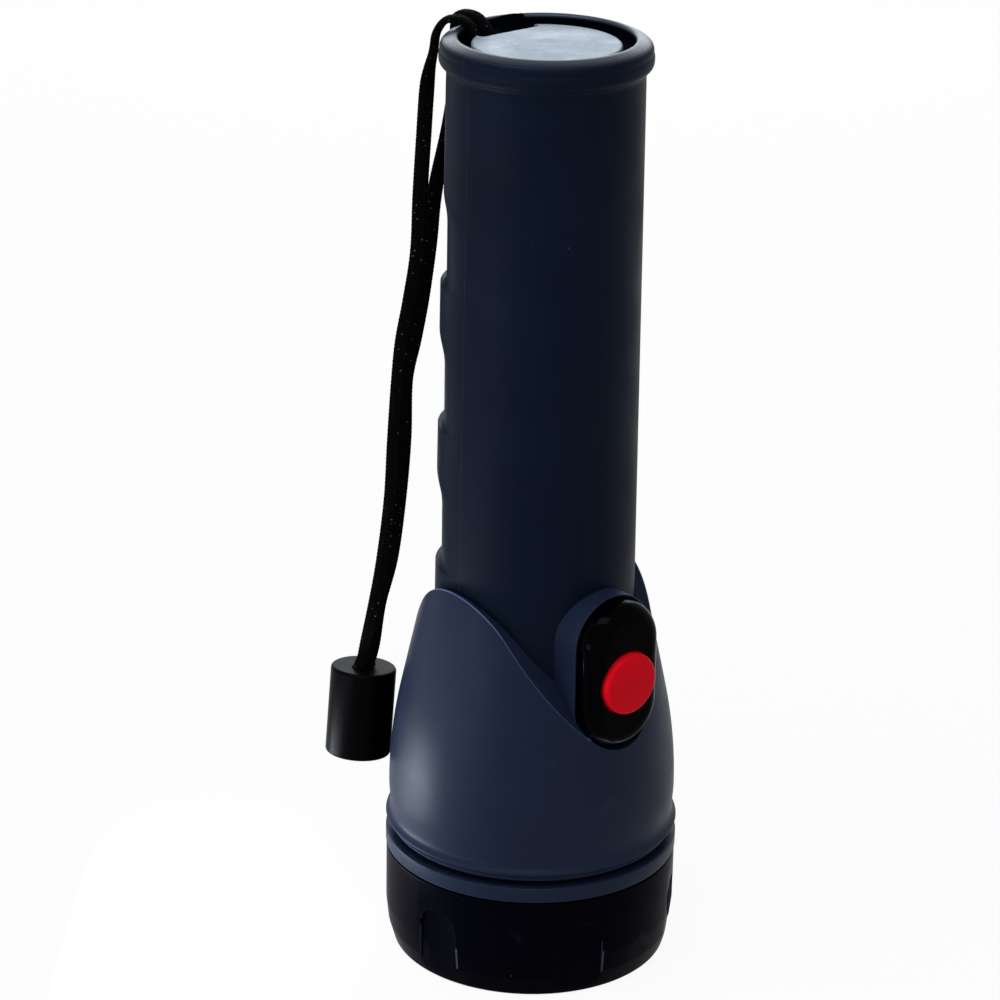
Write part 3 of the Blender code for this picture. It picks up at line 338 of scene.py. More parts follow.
def prism(outline, low, high):
    """A straight prism of an outline of (x, y), from low to high, in millimetres."""
    bm = bmesh.new()
    verts = [bm.verts.new((point[0] * MM, point[1] * MM, low * MM)) for point in outline]
    face = bm.faces.new(verts)
    pulled = bmesh.ops.extrude_face_region(bm, geom=[face])
    top = [item for item in pulled["geom"] if isinstance(item, bmesh.types.BMVert)]
    bmesh.ops.translate(bm, vec=(0, 0, (high - low) * MM), verts=top)
    tidy(bm)
    return bm


def bare_object(name, bm):
    """An object at the origin that takes up a bmesh."""
    mesh = bpy.data.meshes.new(name)
    bm.to_mesh(mesh)
    bm.free()
    item = bpy.data.objects.new(name, mesh)
    bpy.context.scene.collection.objects.link(item)
    return item


def add_piece(name, bm, material, body, node, sharp=32):
    """A smooth piece from a finished bmesh, riding on its body in place of its node."""
    piece = bare_object(name, bm)
    mesh = piece.data
    mesh.polygons.foreach_set("use_smooth", [True] * len(mesh.polygons))
    mesh.set_sharp_from_angle(angle=math.radians(sharp))
    mesh.materials.append(material)
    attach(piece, body)
    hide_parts(node)
    return piece


def cut_out(bm, cutters, bevel=0, segments=3):
    """The bmesh with each cutter taken out of it, and its edges eased."""
    blank = bare_object("blank", bm)
    tools = []
    for cutter in cutters:
        tool = bare_object("tool", cutter)
        modifier = blank.modifiers.new("cut", "BOOLEAN")
        modifier.operation = "DIFFERENCE"
        modifier.solver = "EXACT"
        modifier.object = tool
        tools.append(tool)
    if bevel:
        modifier = blank.modifiers.new("ease", "BEVEL")
        modifier.width = bevel * MM
        modifier.segments = segments
        modifier.limit_method = "ANGLE"
        modifier.angle_limit = math.radians(28)
    result = bmesh.new()
    result.from_object(blank, bpy.context.evaluated_depsgraph_get())
    for item in tools + [blank]:
        mesh = item.data
        bpy.data.objects.remove(item, do_unlink=True)
        bpy.data.meshes.remove(mesh)
    return result


def switch_point(spot, height):
    """A point in millimetres from its spot (x, y) and height in the switch's own frame."""
    return Vector((spot[0], -SWITCH_REACH - height, SWITCH_Z + spot[1]))


def at_switch(bm):
    """Bring a bmesh from the switch's own frame, whose Z axis points out along the button, to its place."""
    spot = switch_point((0, 0), 0) * MM
    bm.transform(Matrix.Translation(spot) @ Matrix.Rotation(math.pi / 2, 4, "X"))
    return bm


def rectangle(left, low, right, high):
    """Corners of a rectangle."""
    return [(left, low), (right, low), (right, high), (left, high)]


def block(low, high):
    """A box between two corners in millimetres."""
    low, high = Vector(low), Vector(high)
    bm = bmesh.new()
    place = Matrix.LocRotScale((low + high) / 2 * MM, None, (high - low) * MM)
    bmesh.ops.create_cube(bm, size=1, matrix=place)
    return bm


def tube_radius(height):
    """Outer radius of the plain handle at a height."""
    return TUBE_HEAD_R + (TUBE_TAIL_R - TUBE_HEAD_R) * (height - TUBE_Z) / (RIM_TOP_Z - TUBE_Z)


def swell_radius(turn, height):
    """Outer radius of the handle's swollen back at an angle and height."""
    fade = min(max((height - GRIP_SWELL_Z) / 6, 0), 1)
    radius = tube_radius(height) - GRIP_SWELL * fade
    out = math.sin(turn)
    across = math.cos(turn)
    return GRIP_SWELL * out + math.sqrt(radius ** 2 - (GRIP_SWELL * across) ** 2)


def grip_cut(turn, height, low, depth):
    """Radius to which one finger scoop cuts the handle back at an angle and height."""
    high = low + GRIP_LENGTH
    if height < low - 0.001 or height > high:
        return 99
    middle = tube_radius((low + high) / 2)
    offset = depth / (1 - math.cos(GRIP_HALF_ANGLE))
    floor = middle + offset - depth
    share = max(height - (high - GRIP_RUNOUT - 3), 0) / (GRIP_RUNOUT + 3)
    rise = (depth + GRIP_SWELL + 0.3) * share * share
    toe = max(low + 1.2 - height, 0)
    rise += 1.2 - math.sqrt(max(1.44 - toe * toe, 0))
    reach = floor + rise
    out = math.sin(turn)
    across = math.cos(turn)
    return -offset * out + math.sqrt(reach ** 2 - (offset * across) ** 2)


def handle_radius(turn, height, depth):
    """Outer radius of the handle with its swell and finger scoops."""
    radius = tube_radius(height)
    if height < GRIP_SWELL_Z + 6:
        radius = soft_most(radius, swell_radius(turn, height), 0.12)
    for low in GRIP_ZS:
        radius = soft_least(radius, grip_cut(turn, height, low, depth), 0.35)
    return radius


def shell_radius(height):
    """Outer radius of the head shell above its belly: it bends in softly and runs on as a straight taper."""
    rise = height - SHELL_BELLY_Z
    run = SHELL_TOP_Z - SHELL_BELLY_Z - SHELL_BOW_H / 2
    slope = (SHELL_BELLY_R - tube_radius(SHELL_TOP_Z) - SHELL_TOP_W) / run
    if rise <= 0:
        return SHELL_BELLY_R
    if rise <= SHELL_BOW_H:
        return SHELL_BELLY_R - slope * rise ** 2 / (2 * SHELL_BOW_H)
    return SHELL_BELLY_R - slope * (rise - SHELL_BOW_H / 2)


def roof_height(turn, radius):
    """Height of the two sloping cuts, with their round nose and their rise to the sides, above a point."""
    lean = math.tan(PETAL_LEAN)
    height = PETAL_TOP_Z - shell_radius(PETAL_TOP_Z) * lean - PETAL_NOSE_R
    height += lean * math.hypot(radius * math.cos(turn), 0.5)
    across = abs(radius * math.sin(turn))
    edge = PETAL_NOSE_R * math.sin(PETAL_SLOPE)
    if across <= edge:
        return height + math.sqrt(PETAL_NOSE_R ** 2 - across ** 2)
    return height + PETAL_NOSE_R * math.cos(PETAL_SLOPE) - (across - edge) * math.tan(PETAL_SLOPE)


def cover_height(spot, shoulder):
    """Height of the switch cover's face at a spot, which rounds off towards its outline."""
    along = max(abs(spot.y) - COVER_STRAIGHT / 2, 0)
    inside = COVER_HALF_W - math.hypot(spot.x, along)
    slack = max(shoulder - inside, 0)
    return COVER_RISE - shoulder + math.sqrt(max(shoulder ** 2 - slack ** 2, 0))


# Finishes


def set_inputs(tree, node, values):
    """Give a node's inputs their values or links."""
    for key, value in values.items():
        socket = node.inputs[key]
        if isinstance(value, bpy.types.NodeSocket):
            tree.links.new(value, socket)
        else:
            socket.default_value = value


def add_node(tree, kind, values=None, **settings):
    """A new node with its settings and its inputs."""
    node = tree.nodes.new(kind)
    for key, value in settings.items():
        setattr(node, key, value)
    set_inputs(tree, node, values or {})
    return node


class Finish:
    """The node tree of one material, with short calls for its nodes."""

    def __init__(self, name, colour, roughness, specular=0.5, metallic=0.0):
        self.material = bpy.data.materials.new(name)
        self.material.use_nodes = True
        self.material.diffuse_color = (*colour, 1)
        self.tree = self.material.node_tree
        self.shader = self.tree.nodes["Principled BSDF"]
        self.colour = tuple(colour)
        self.set({"Base Color": (*colour, 1), "Roughness": roughness, "Metallic": metallic,
                  "Specular IOR Level": specular})
        self.place = self.node("ShaderNodeTexCoord").outputs["Object"]

    def set(self, values):
        """Give the shader's inputs their values or links."""
        set_inputs(self.tree, self.shader, values)

    def node(self, kind, values=None, **settings):
        """A new node of this material."""
        return add_node(self.tree, kind, values, **settings)

    def noise(self, scale, detail=2.0, vector=None, roughness=0.5):
        """Soft noise from 0 to 1; the scale is in turns to the metre."""
        values = {"Vector": vector or self.place, "Scale": scale, "Detail": detail, "Roughness": roughness}
        return self.node("ShaderNodeTexNoise", values).outputs["Fac"]

    def math(self, operation, a, b=0.0, c=0.0):
        """One sum."""
        return self.node("ShaderNodeMath", {0: a, 1: b, 2: c}, operation=operation).outputs[0]

    def remap(self, value, low, high, to_low=0.0, to_high=1.0, kind="SMOOTHSTEP"):
        """A value brought from one range to another."""
        values = {"Value": value, "From Min": low, "From Max": high, "To Min": to_low, "To Max": to_high}
        return self.node("ShaderNodeMapRange", values, interpolation_type=kind).outputs["Result"]

    def blend(self, share, base, colour):
        """A plain colour (red, green, blue) mixed over the base by a share."""
        return self.node("ShaderNodeMix", {0: share, 6: base, 7: (*colour, 1)}, data_type="RGBA").outputs[2]

    def lay(self, mask, strength, base, colour):
        """A plain colour laid over the base by a mask from 0 to 1 and a strength."""
        return self.blend(self.math("MULTIPLY", mask, strength), base, colour)

    def stretch(self, vector, scale, rotation=(0, 0, 0)):
        """The place on the piece, drawn out and turned."""
        values = {"Vector": vector, "Scale": scale, "Rotation": rotation}
        return self.node("ShaderNodeMapping", values).outputs[0]

    def axes(self, vector):
        """The parts of a place."""
        return self.node("ShaderNodeSeparateXYZ", {0: vector}).outputs

    def between(self, noise, low, high):
        """Noise spread evenly from one value to another."""
        return self.remap(noise, 0.3, 0.7, low, high, "LINEAR")

    def bump(self, height, depth, normal=None):
        """A bump of a depth in metres."""
        values = {"Height": height, "Distance": depth, "Strength": 1.0}
        if normal:
            values["Normal"] = normal
        return self.node("ShaderNodeBump", values).outputs["Normal"]

    def drift(self, low, high, scale=60.0):
        """The material's colour, which drifts a little darker and lighter over the piece."""
        values = {"Value": self.between(self.noise(scale, 3.0), low, high), "Color": (*self.colour, 1)}
        return self.node("ShaderNodeHueSaturation", values).outputs["Color"]

    def specks(self, size, spacing, share):
        """Small separate specks, from 0 to 1."""
        values = {"Vector": self.place, "Scale": 1 / spacing, "Randomness": 1.0}
        cells = self.node("ShaderNodeTexVoronoi", values)
        near = self.remap(cells.outputs["Distance"], size / spacing, size / spacing * 0.6)
        chosen = self.node("ShaderNodeSeparateColor", {0: cells.outputs["Color"]}).outputs[0]
        return self.math("MULTIPLY", near, self.math("LESS_THAN", chosen, share))

    def finish(self, colour=None, roughness=None, normal=None):
        """Link the shader and return the material."""
        links = {"Base Color": colour, "Roughness": roughness, "Normal": normal}
        self.set({key: value for key, value in links.items() if value is not None})
        return self.material


def moulded(name, colour, roughness, specular, grain=0.00035, depth=0.000012, dust=0.1, marks=0.00006):
    """Moulded plastic with a fine spark grain, faint flow marks, dull patches and a little dust."""
    finish = Finish(name, colour, roughness, specular)
    fine = finish.noise(1 / grain, 3.0)
    broad = finish.noise(18.0, 2.0)
    patches = finish.noise(95.0, 4.0)
    dusty = finish.specks(0.00009, 0.0032, dust)
    base = finish.drift(0.9, 1.12, 55.0)
    base = finish.blend(finish.remap(patches, 0.62, 0.8, 0.0, 0.04), base, (0.25, 0.27, 0.31))
    base = finish.lay(dusty, 0.3, base, (0.5, 0.52, 0.56))
    rough = finish.between(patches, roughness * 0.88, min(roughness * 1.16, 1.0))
    normal = finish.bump(fine, depth, finish.bump(broad, marks))
    return finish.finish(base, rough, normal)


def handle_finish(colour):
    """Soft matt plastic: fine grain, dust, and the mould's parting lines down both sides."""
    finish = Finish("handle_soft_plastic", colour, 0.46, 0.03)
    split = finish.axes(finish.place)
    turn = finish.math("ARCTAN2", split["Y"], split["X"])
    fine = finish.noise(3400.0, 3.0)
    rub = finish.noise(70.0, 4.0)
    dusty = finish.specks(0.0001, 0.003, 0.12)
    side = finish.math("ABSOLUTE", turn)
    for _ in range(2):
        side = finish.math("ABSOLUTE", finish.math("SUBTRACT", side, math.pi / 2))
    seam = finish.remap(side, 0.006, 0.001)
    base = finish.drift(0.88, 1.12, 40.0)
    base = finish.lay(dusty, 0.32, base, (0.45, 0.5, 0.58))
    base = finish.lay(seam, 0.04, base, (0.2, 0.22, 0.26))
    rough = finish.between(rub, 0.4, 0.54)
    normal = finish.bump(finish.noise(26.0, 2.0), 0.00008)
    normal = finish.bump(seam, 0.00002, normal)
    normal = finish.bump(fine, 0.000014, normal)
    return finish.finish(base, rough, normal)


def gloss_finish(colour):
    """Polished black plastic with fine wipe marks and a faint wave."""
    finish = Finish("gloss_black_plastic", colour, 0.06, 0.012)
    wipes = finish.stretch(finish.place, (300, 300, 2600), (0.4, 0.7, 0.2))
    haze = finish.remap(finish.noise(1.0, 4.0, wipes), 0.4, 0.8, 0.04, 0.12)
    smear = finish.remap(finish.noise(110.0, 3.0), 0.5, 0.75, 0.0, 0.06)
    base = finish.drift(0.9, 1.15, 80.0)
    base = finish.lay(finish.specks(0.00008, 0.0035, 0.14), 0.25, base, (0.4, 0.42, 0.5))
    normal = finish.bump(finish.noise(40.0, 1.0), 0.00003)
    return finish.finish(base, finish.math("ADD", haze, smear), normal)


def cap_finish(colour):
    """Pale plastic of the disc, with a mottled matt face."""
    finish = Finish("tail_disc_plastic", colour, 0.42, 0.12)
    mottle = finish.noise(900.0, 4.0, roughness=0.65)
    patches = finish.noise(160.0, 4.0)
    base = finish.drift(0.92, 1.08, 180.0)
    base = finish.blend(finish.remap(mottle, 0.5, 0.8, 0.0, 0.3), base, (0.62, 0.66, 0.72))
    base = finish.blend(finish.remap(patches, 0.55, 0.75, 0.0, 0.25), base, (0.55, 0.6, 0.66))
    base = finish.lay(finish.specks(0.00012, 0.0025, 0.2), 0.3, base, (0.12, 0.14, 0.18))
    rough = finish.between(patches, 0.36, 0.52)
    normal = finish.bump(mottle, 0.00002)
    return finish.finish(base, rough, normal)


def braid_finish(colour):
    """Braided yarn: crossing diagonal ribs along the strand and a few pale glints."""
    finish = Finish("braided_yarn", colour, 0.85, 0.03)
    place = finish.node("ShaderNodeUVMap", uv_map="along").outputs[0]
    split = finish.axes(place)
    across, along = split["X"], split["Y"]
    slant = finish.math("MULTIPLY", finish.math("PINGPONG", across, 0.25), 8.0)
    run = finish.math("ADD", finish.math("MULTIPLY", along, 1.1), slant)
    ribs = finish.math("SINE", finish.math("MULTIPLY", run, TURN))
    strands = finish.math("SINE", finish.math("MULTIPLY", across, TURN * 8))
    height = finish.math("ADD", ribs, finish.math("MULTIPLY", strands, 0.5))
    fuzz = finish.noise(2600.0, 4.0)
    values = {"Vector": finish.stretch(place, (6, 0.9, 1)), "Scale": 1.0}
    glints = finish.node("ShaderNodeTexVoronoi", values)
    glint = finish.remap(glints.outputs["Distance"], 0.14, 0.07)
    base = finish.drift(0.7, 1.5, 900.0)
    base = finish.lay(glint, 0.22, base, (0.55, 0.56, 0.6))
    rough = finish.between(fuzz, 0.75, 0.95)
    normal = finish.bump(height, 0.00009)
    normal = finish.bump(fuzz, 0.00003, normal)
    return finish.finish(base, rough, normal)


def metal_finish(name, colour, roughness):
    """Rolled or drawn metal with fine lines and dull spots."""
    finish = Finish(name, colour, roughness, 0.5, 1.0)
    lines = finish.noise(1.0, 3.0, finish.stretch(finish.place, (400, 400, 5200)))
    spots = finish.noise(420.0, 4.0)
    base = finish.drift(0.86, 1.05, 240.0)
    base = finish.blend(finish.remap(spots, 0.62, 0.8, 0.0, 0.35), base, [part * 0.45 for part in colour])
    wear_and_painted_highlight = finish.remap(lines, 0.3, 0.7, roughness * 0.8, roughness * 1.2)
    rough = finish.math("ADD", wear_and_painted_highlight, finish.remap(spots, 0.6, 0.8, 0.0, 0.2))
    return finish.finish(base, rough, finish.bump(lines, 0.000006))


def mirror_finish():
    """Vacuum-coated reflector with a faint orange peel."""
    finish = Finish("reflector_coat", tone(232, 233, 236), 0.07, 0.5, 1.0)
    peel = finish.noise(260.0, 2.0)
    haze = finish.noise(70.0, 3.0)
    base = finish.drift(0.96, 1.02, 120.0)
    rough = finish.remap(haze, 0.35, 0.7, 0.05, 0.12, "LINEAR")
    return finish.finish(base, rough, finish.bump(peel, 0.000025))


def clear_finish():
    """Clear moulded window."""
    finish = Finish("clear_window", tone(240, 244, 247), 0.03, 0.5)
    finish.set({"Transmission Weight": 1.0, "IOR": 1.49})
    haze = finish.noise(120.0, 3.0)
    rough = finish.remap(haze, 0.4, 0.75, 0.02, 0.06, "LINEAR")
    return finish.finish(None, rough, finish.bump(finish.noise(60.0, 1.0), 0.00001))


def led_finish():
    """Phosphor under a clear dome."""
    finish = Finish("led_phosphor", tone(232, 206, 96), 0.25, 0.5)
    finish.set({"Coat Weight": 0.8, "Coat Roughness": 0.05})
    grainy = finish.noise(5200.0, 3.0)
    base = finish.drift(0.9, 1.08, 1500.0)
    rough = finish.between(grainy, 0.2, 0.32)
    return finish.finish(base, rough, finish.bump(grainy, 0.00001))


def board_finish():
    """White solder mask with pale copper pads."""
    finish = Finish("board_mask", tone(226, 229, 225), 0.45, 0.5)
    values = {"Vector": finish.place, "Scale": 320.0, "Randomness": 0.2}
    pads = finish.node("ShaderNodeTexVoronoi", values)
    pad = finish.remap(pads.outputs["Distance"], 0.28, 0.24)
    base = finish.lay(pad, 0.5, finish.drift(0.95, 1.03), (0.6, 0.5, 0.3))
    rough = finish.remap(pad, 0.0, 1.0, 0.5, 0.3)
    return finish.finish(base, rough, finish.bump(pad, 0.00003))


def jacket_finish():
    """Plain printed film of a cell, with a darker band at the foot and a metal sheen."""
    finish = Finish("cell_film", tone(58, 84, 114), 0.32, 0.5)
    first_foot, pitch = 0.057, 0.0618
    rise = finish.math("SUBTRACT", finish.axes(finish.place)["Z"], first_foot)
    share = finish.math("FRACT", finish.math("DIVIDE", rise, pitch))
    base = finish.blend(finish.remap(share, 0.74, 0.75), finish.drift(0.92, 1.08), (0.5, 0.36, 0.14))
    crease = finish.noise(140.0, 4.0)
    rough = finish.between(crease, 0.24, 0.42)
    return finish.finish(base, rough, finish.bump(crease, 0.00003))


# Cord


def around(angle, radius, height):
    """A point by its angle from +Y towards -X in degrees, its distance from the axis and its height."""
    turn = math.radians(angle)
    return Vector((-radius * math.sin(turn), radius * math.cos(turn), height))


def stopper_place():
    """Place of the stopper in millimetres: its own origin is the middle of its top."""
    reach = SHELL_BELLY_R + GAP + STOPPER_R
    foot = Vector((-reach * math.sin(STOPPER_SIDE), reach * math.cos(STOPPER_SIDE), STOPPER_FOOT_Z))
    turn = Matrix.Rotation(STOPPER_LEAN_SIDE, 4, "Z") @ Matrix.Rotation(STOPPER_LEAN, 4, "Y")
    return Matrix.Translation(foot) @ turn @ Matrix.Translation((0, 0, STOPPER_LENGTH))


def cord_routes():
    """The two strands' routes in millimetres, from the pin over the rim into the stopper."""
    place = stopper_place()
    top = place.translation
    down = place.to_3x3() @ Vector((0, 0, -1))
    apart = Vector((math.cos(STRAND_SIDE), math.sin(STRAND_SIDE), 0)) * STRAND_SPREAD
    front = [around(*row) for row in (
        (23, 15.6, 195.1), (24.5, 15.8, 197.3), (27, 17.0, 199.6), (29.5, 19.0, 200.6),
        (30.5, 21.5, 200.1), (32, 23.1, 197.6), (33.5, 23.5, 194.0), (34.8, 24.5, 188.0),
        (35.2, 25.2, 176.0), (35.5, 25.8, 164.0), (35.7, 26.2, 152.0), (36.6, 27.6, 141.5),
        (37.2, 29.1, 132.5), (37.5, 29.9, 123.0), (37.8, 30.6, 110.5), (38.1, 31.2, 97.5),
        (39.0, 32.7, 83.5), (40.8, 34.3, 73.0),
    )]
    front += [top + Vector((-0.5, -1.7, 5.8)), top + Vector((-0.9, -1.2, 2.4)), top + apart]
    rear = [around(*row) for row in (
        (11, 14.8, 195.1), (11.5, 15.1, 197.3), (13, 16.8, 199.6), (15, 18.8, 200.6),
        (14.5, 21.5, 200.1), (12, 23.1, 197.6), (10.5, 23.6, 190.0), (12.8, 23.8, 181.5),
        (20.0, 24.1, 170.5), (25.4, 24.5, 162.0), (27.6, 24.9, 153.0), (28.8, 26.2, 141.5),
        (30.0, 27.6, 132.5), (30.7, 29.4, 123.0), (30.9, 29.6, 110.5), (31.8, 30.4, 97.5),
        (33.2, 31.9, 83.5), (35.0, 34.2, 73.0),
    )]
    rear += [top + Vector((2.4, -0.3, 5.8)), top + Vector((2.0, 0.2, 2.4)), top - apart]
    for route in (front, rear):
        route.append(route[-1] + down * 3.5)
    return front, rear


def broad_side(point, name):
    """Direction of the braid's width at a point: flat on the rim, and broad side on lower down."""
    flat = Vector((-point.y, point.x, 0)).normalized()
    if flat.x < 0:
        flat = -flat
    open_side = Vector((0.766, -0.643, 0))
    slotted = Vector((0.39, -0.92, 0))
    low, high = (181.0, 197.0) if name == "front" else (158.0, 178.0)
    share = min(max((high - point.z) / (high - low), 0), 1)
    share = share * share * (3 - 2 * share)
    side = flat.lerp(open_side, share) if flat.dot(open_side) > 0 else flat.lerp(-open_side, share)
    near = min(max((75 - point.z) / 15, 0), 1)
    return side.normalized().lerp(slotted if side.dot(slotted) > 0 else -slotted, near)


def even_path(route, spacing):
    """The smooth line through a route, as evenly spaced points, and its length."""
    dense = smooth_line(route, 60)
    length = [0.0]
    for a, b in zip(dense, dense[1:]):
        length.append(length[-1] + (b - a).length)
    count = round(length[-1] / spacing)
    path = []
    index = 0
    for i in range(count + 1):
        target = length[-1] * i / count
        while index < len(dense) - 2 and length[index + 1] < target:
            index += 1
        share = (target - length[index]) / max(length[index + 1] - length[index], 1e-9)
        path.append(dense[index].lerp(dense[index + 1], min(share, 1)))
    return path, length[-1]


def braid_ring(side, face, width, thickness, run):
    """Offsets of the braid's points round one place of its path, at its run along the path."""
    ripple_depth, ripple_pitch = 0.035, 0.9
    ring = []
    for k in range(BRAID_SIDES):
        turn = TURN * k / BRAID_SIDES
        c, s = math.cos(turn), math.sin(turn)
        ripple = ripple_depth * math.sin(TURN * (run / ripple_pitch + 0.5 * (k % 2)))
        wide = math.copysign(abs(c) ** 0.8, c) * width / 2 + ripple * c * 1.4
        deep = math.copysign(abs(s) ** 0.7, s) * thickness / 2 + ripple * s
        ring.append(side * wide + face * deep)
    return ring


def braid(name, route, width, thickness):
    """A flat braid along its route, as a closed tube with its own map along and around it."""
    path, length = even_path(route, 0.22)
    count = len(path) - 1
    step = length / count
    bm = bmesh.new()
    uv = bm.loops.layers.uv.new("along")
    rings = []
    for i, point in enumerate(path):
        ahead = (path[min(i + 1, count)] - path[max(i - 1, 0)]).normalized()
        side = broad_side(point, name)
        side = (side - ahead * side.dot(ahead)).normalized()
        offsets = braid_ring(side, ahead.cross(side), width, thickness, length * i / count)
        rings.append([bm.verts.new((point + offset) * MM) for offset in offsets])
    for i in range(count):
        for k in range(BRAID_SIDES):
            after = (k + 1) % BRAID_SIDES
            quad = bm.faces.new((rings[i][k], rings[i][after], rings[i + 1][after], rings[i + 1][k]))
            corners = ((k, i), (k + 1, i), (k + 1, i + 1), (k, i + 1))
            for loop, (a, b) in zip(quad.loops, corners):
                loop[uv].uv = (a / BRAID_SIDES, b * step)
    bm.faces.new(rings[0])
    bm.faces.new(list(reversed(rings[-1])))
    bmesh.ops.recalc_face_normals(bm, faces=bm.faces)
    return bm, [point * MM for point in path], length * MM


# Operators


class TORCH_OT_camera(bpy.types.Operator):
    """Camera that looks down on the torch from its front left"""

    bl_idname = "torch.camera"
    bl_label = "Camera"

    def execute(self, context):
        rise = math.radians(21.88)
        roll = math.radians(-0.98)
        x, y = 0.643, 0.766
        back = Vector((-x * math.cos(rise), -y * math.cos(rise), math.sin(rise)))
        level = Vector((y, -x, 0))
        upright = Vector((x * math.sin(rise), y * math.sin(rise), math.cos(rise)))
        right = math.cos(roll) * level - math.sin(roll) * upright
        up = math.sin(roll) * level + math.cos(roll) * upright
        data = bpy.data.cameras.new("camera")
        data.lens = context.scene.torch_studio.lens
        data.sensor_width = 36
        data.clip_start = 0.01
        camera = bpy.data.objects.new("camera", data)
        context.scene.collection.objects.link(camera)
        aim = Vector((0, 0, 90))
        distance, shift_right, shift_up = 766.8, -7.58, 9.77
        spot = aim + back * distance + right * shift_right + up * shift_up
        place = Matrix((right, up, back)).transposed().to_4x4()
        place.translation = spot * MM
        camera.matrix_world = place
        context.scene.camera = camera
        return {"FINISHED"}


class TORCH_OT_cord(bpy.types.Operator):
    """Two strands of flat braid over the rim, and the stopper they run into"""

    bl_idname = "torch.cord"
    bl_label = "Wrist cord"

    def execute(self, context):
        sizes = context.scene.torch_sizes
        colours = context.scene.torch_colours
        low = -STOPPER_LENGTH
        corners = [(0, 0, 0), (STOPPER_R, 0, 0.75), (STOPPER_R, low, 0.75), (0, low, 0)]
        bm = spun(rounded(corners, 8), 96)
        slot = prism([p for p, _ in stadium(1.8, 2 * STRAND_SPREAD, 14, 4)], -5, 2)
        bmesh.ops.rotate(slot, cent=(0, 0, 0), verts=slot.verts,
                         matrix=Matrix.Rotation(STRAND_SIDE - STOPPER_LEAN_SIDE - math.pi / 2, 3, "Z"))
        bm = cut_out(bm, [slot], 0.3)
        place = stopper_place()
        place.translation *= MM
        bm.transform(place)
        material = moulded("stopper_plastic", colours.stopper, 0.34, 0.02, dust=0.2, depth=0.000008)
        stopper = add_piece("stopper", bm, material, "handle", "cord_stopper")

        material = braid_finish(colours.cord)
        for name, route in zip(("front", "rear"), cord_routes()):
            bm, path, length = braid(name, route, sizes.cord_width / MM, sizes.cord_thickness / MM)
            node = f"cord_strand_{name}"
            piece = add_piece(f"braid_{name}", bm, material, "handle", node, 60)
        return {"FINISHED"}


class TORCH_OT_front_ring(bpy.types.Operator):
    """Black ring with its nose, window lip and six arched thumb recesses"""

    bl_idname = "torch.front_ring"
    bl_label = "Front ring"

    def execute(self, context):
        sizes = context.scene.torch_sizes
        corners = [
            (30.0, RING_H, 0.15), (RING_R, RING_H, 0.4), (RING_R, 9.0, 9.0), (RING_R - 0.5, 4.45, 1.2),
            (RING_R - 1.65, 0.5, 0.6), (28.7, 0, 0.7), (26.3, 0, 0.35), (RING_OPENING_R, 1.25, 0.2),
            (RING_OPENING_R, 2.5, 0.15), (RING_BORE_R, 2.5, 0), (RING_BORE_R, 20.9, 0.1), (30.0, 20.9, 0),
        ]
        bm = spun(rounded(corners), sizes.steps, closed=True)
        half = sizes.recess_width / MM / 2
        shoulder = RECESS_TOP_Z - half
        arch = [(-half, -2), (half, -2)]
        arch += [(half * math.cos(t), shoulder + half * math.sin(t)) for t in spread(0, math.pi, 24)]
        cutters = []
        for number in range(RECESS_COUNT):
            cutter = prism(arch, RING_R - sizes.recess_depth / MM, RING_R + 2)
            turn = self.recess_turn(number) + math.pi / 2
            cutter.transform(Matrix.Rotation(turn, 4, "Z") @ Matrix.Rotation(math.pi / 2, 4, "X"))
            cutters.append(cutter)
        bm = cut_out(bm, cutters, 0.28, 4)
        colour = context.scene.torch_colours.ring
        material = moulded("ring_plastic", colour, 0.36, 0.012, dust=0.14, depth=0.00001)
        ring = add_piece("ring", bm, material, "front_assembly", "front_ring", 40)
        # Painted highlight: the rounded outer edges of the thumb recesses get a lighter, glossier copy of
        # the ring's plastic
        ring.data.materials.append(moulded("ring_recess_painted_highlight", tone(34, 40, 62), 0.4, 0.22, dust=0.1))
        for face in ring.data.polygons:
            if self.on_edge(face.center / MM, half, shoulder):
                face.material_index = 1
        return {"FINISHED"}

    def recess_turn(self, number):
        """Direction in which a thumb recess faces."""
        return RECESS_TURN + TURN / RECESS_COUNT * number

    def on_edge(self, spot, half, shoulder):
        """Whether a spot lies on the rounded outer edge of a thumb recess, where the highlight is painted.
        """
        number = round((math.atan2(spot.y, spot.x) - RECESS_TURN) / TURN * RECESS_COUNT)
        turn = self.recess_turn(number)
        out = spot.x * math.cos(turn) + spot.y * math.sin(turn)
        across = abs(spot.y * math.cos(turn) - spot.x * math.sin(turn))
        inner = math.hypot(spot.x, spot.y) < RING_R - 0.34
        if inner or out < RING_R - 2 or not 3 < spot.z < RING_H - 1:
            return False
        reach = across if spot.z < shoulder else math.hypot(across, spot.z - shoulder)
        return abs(reach - half) < 0.27


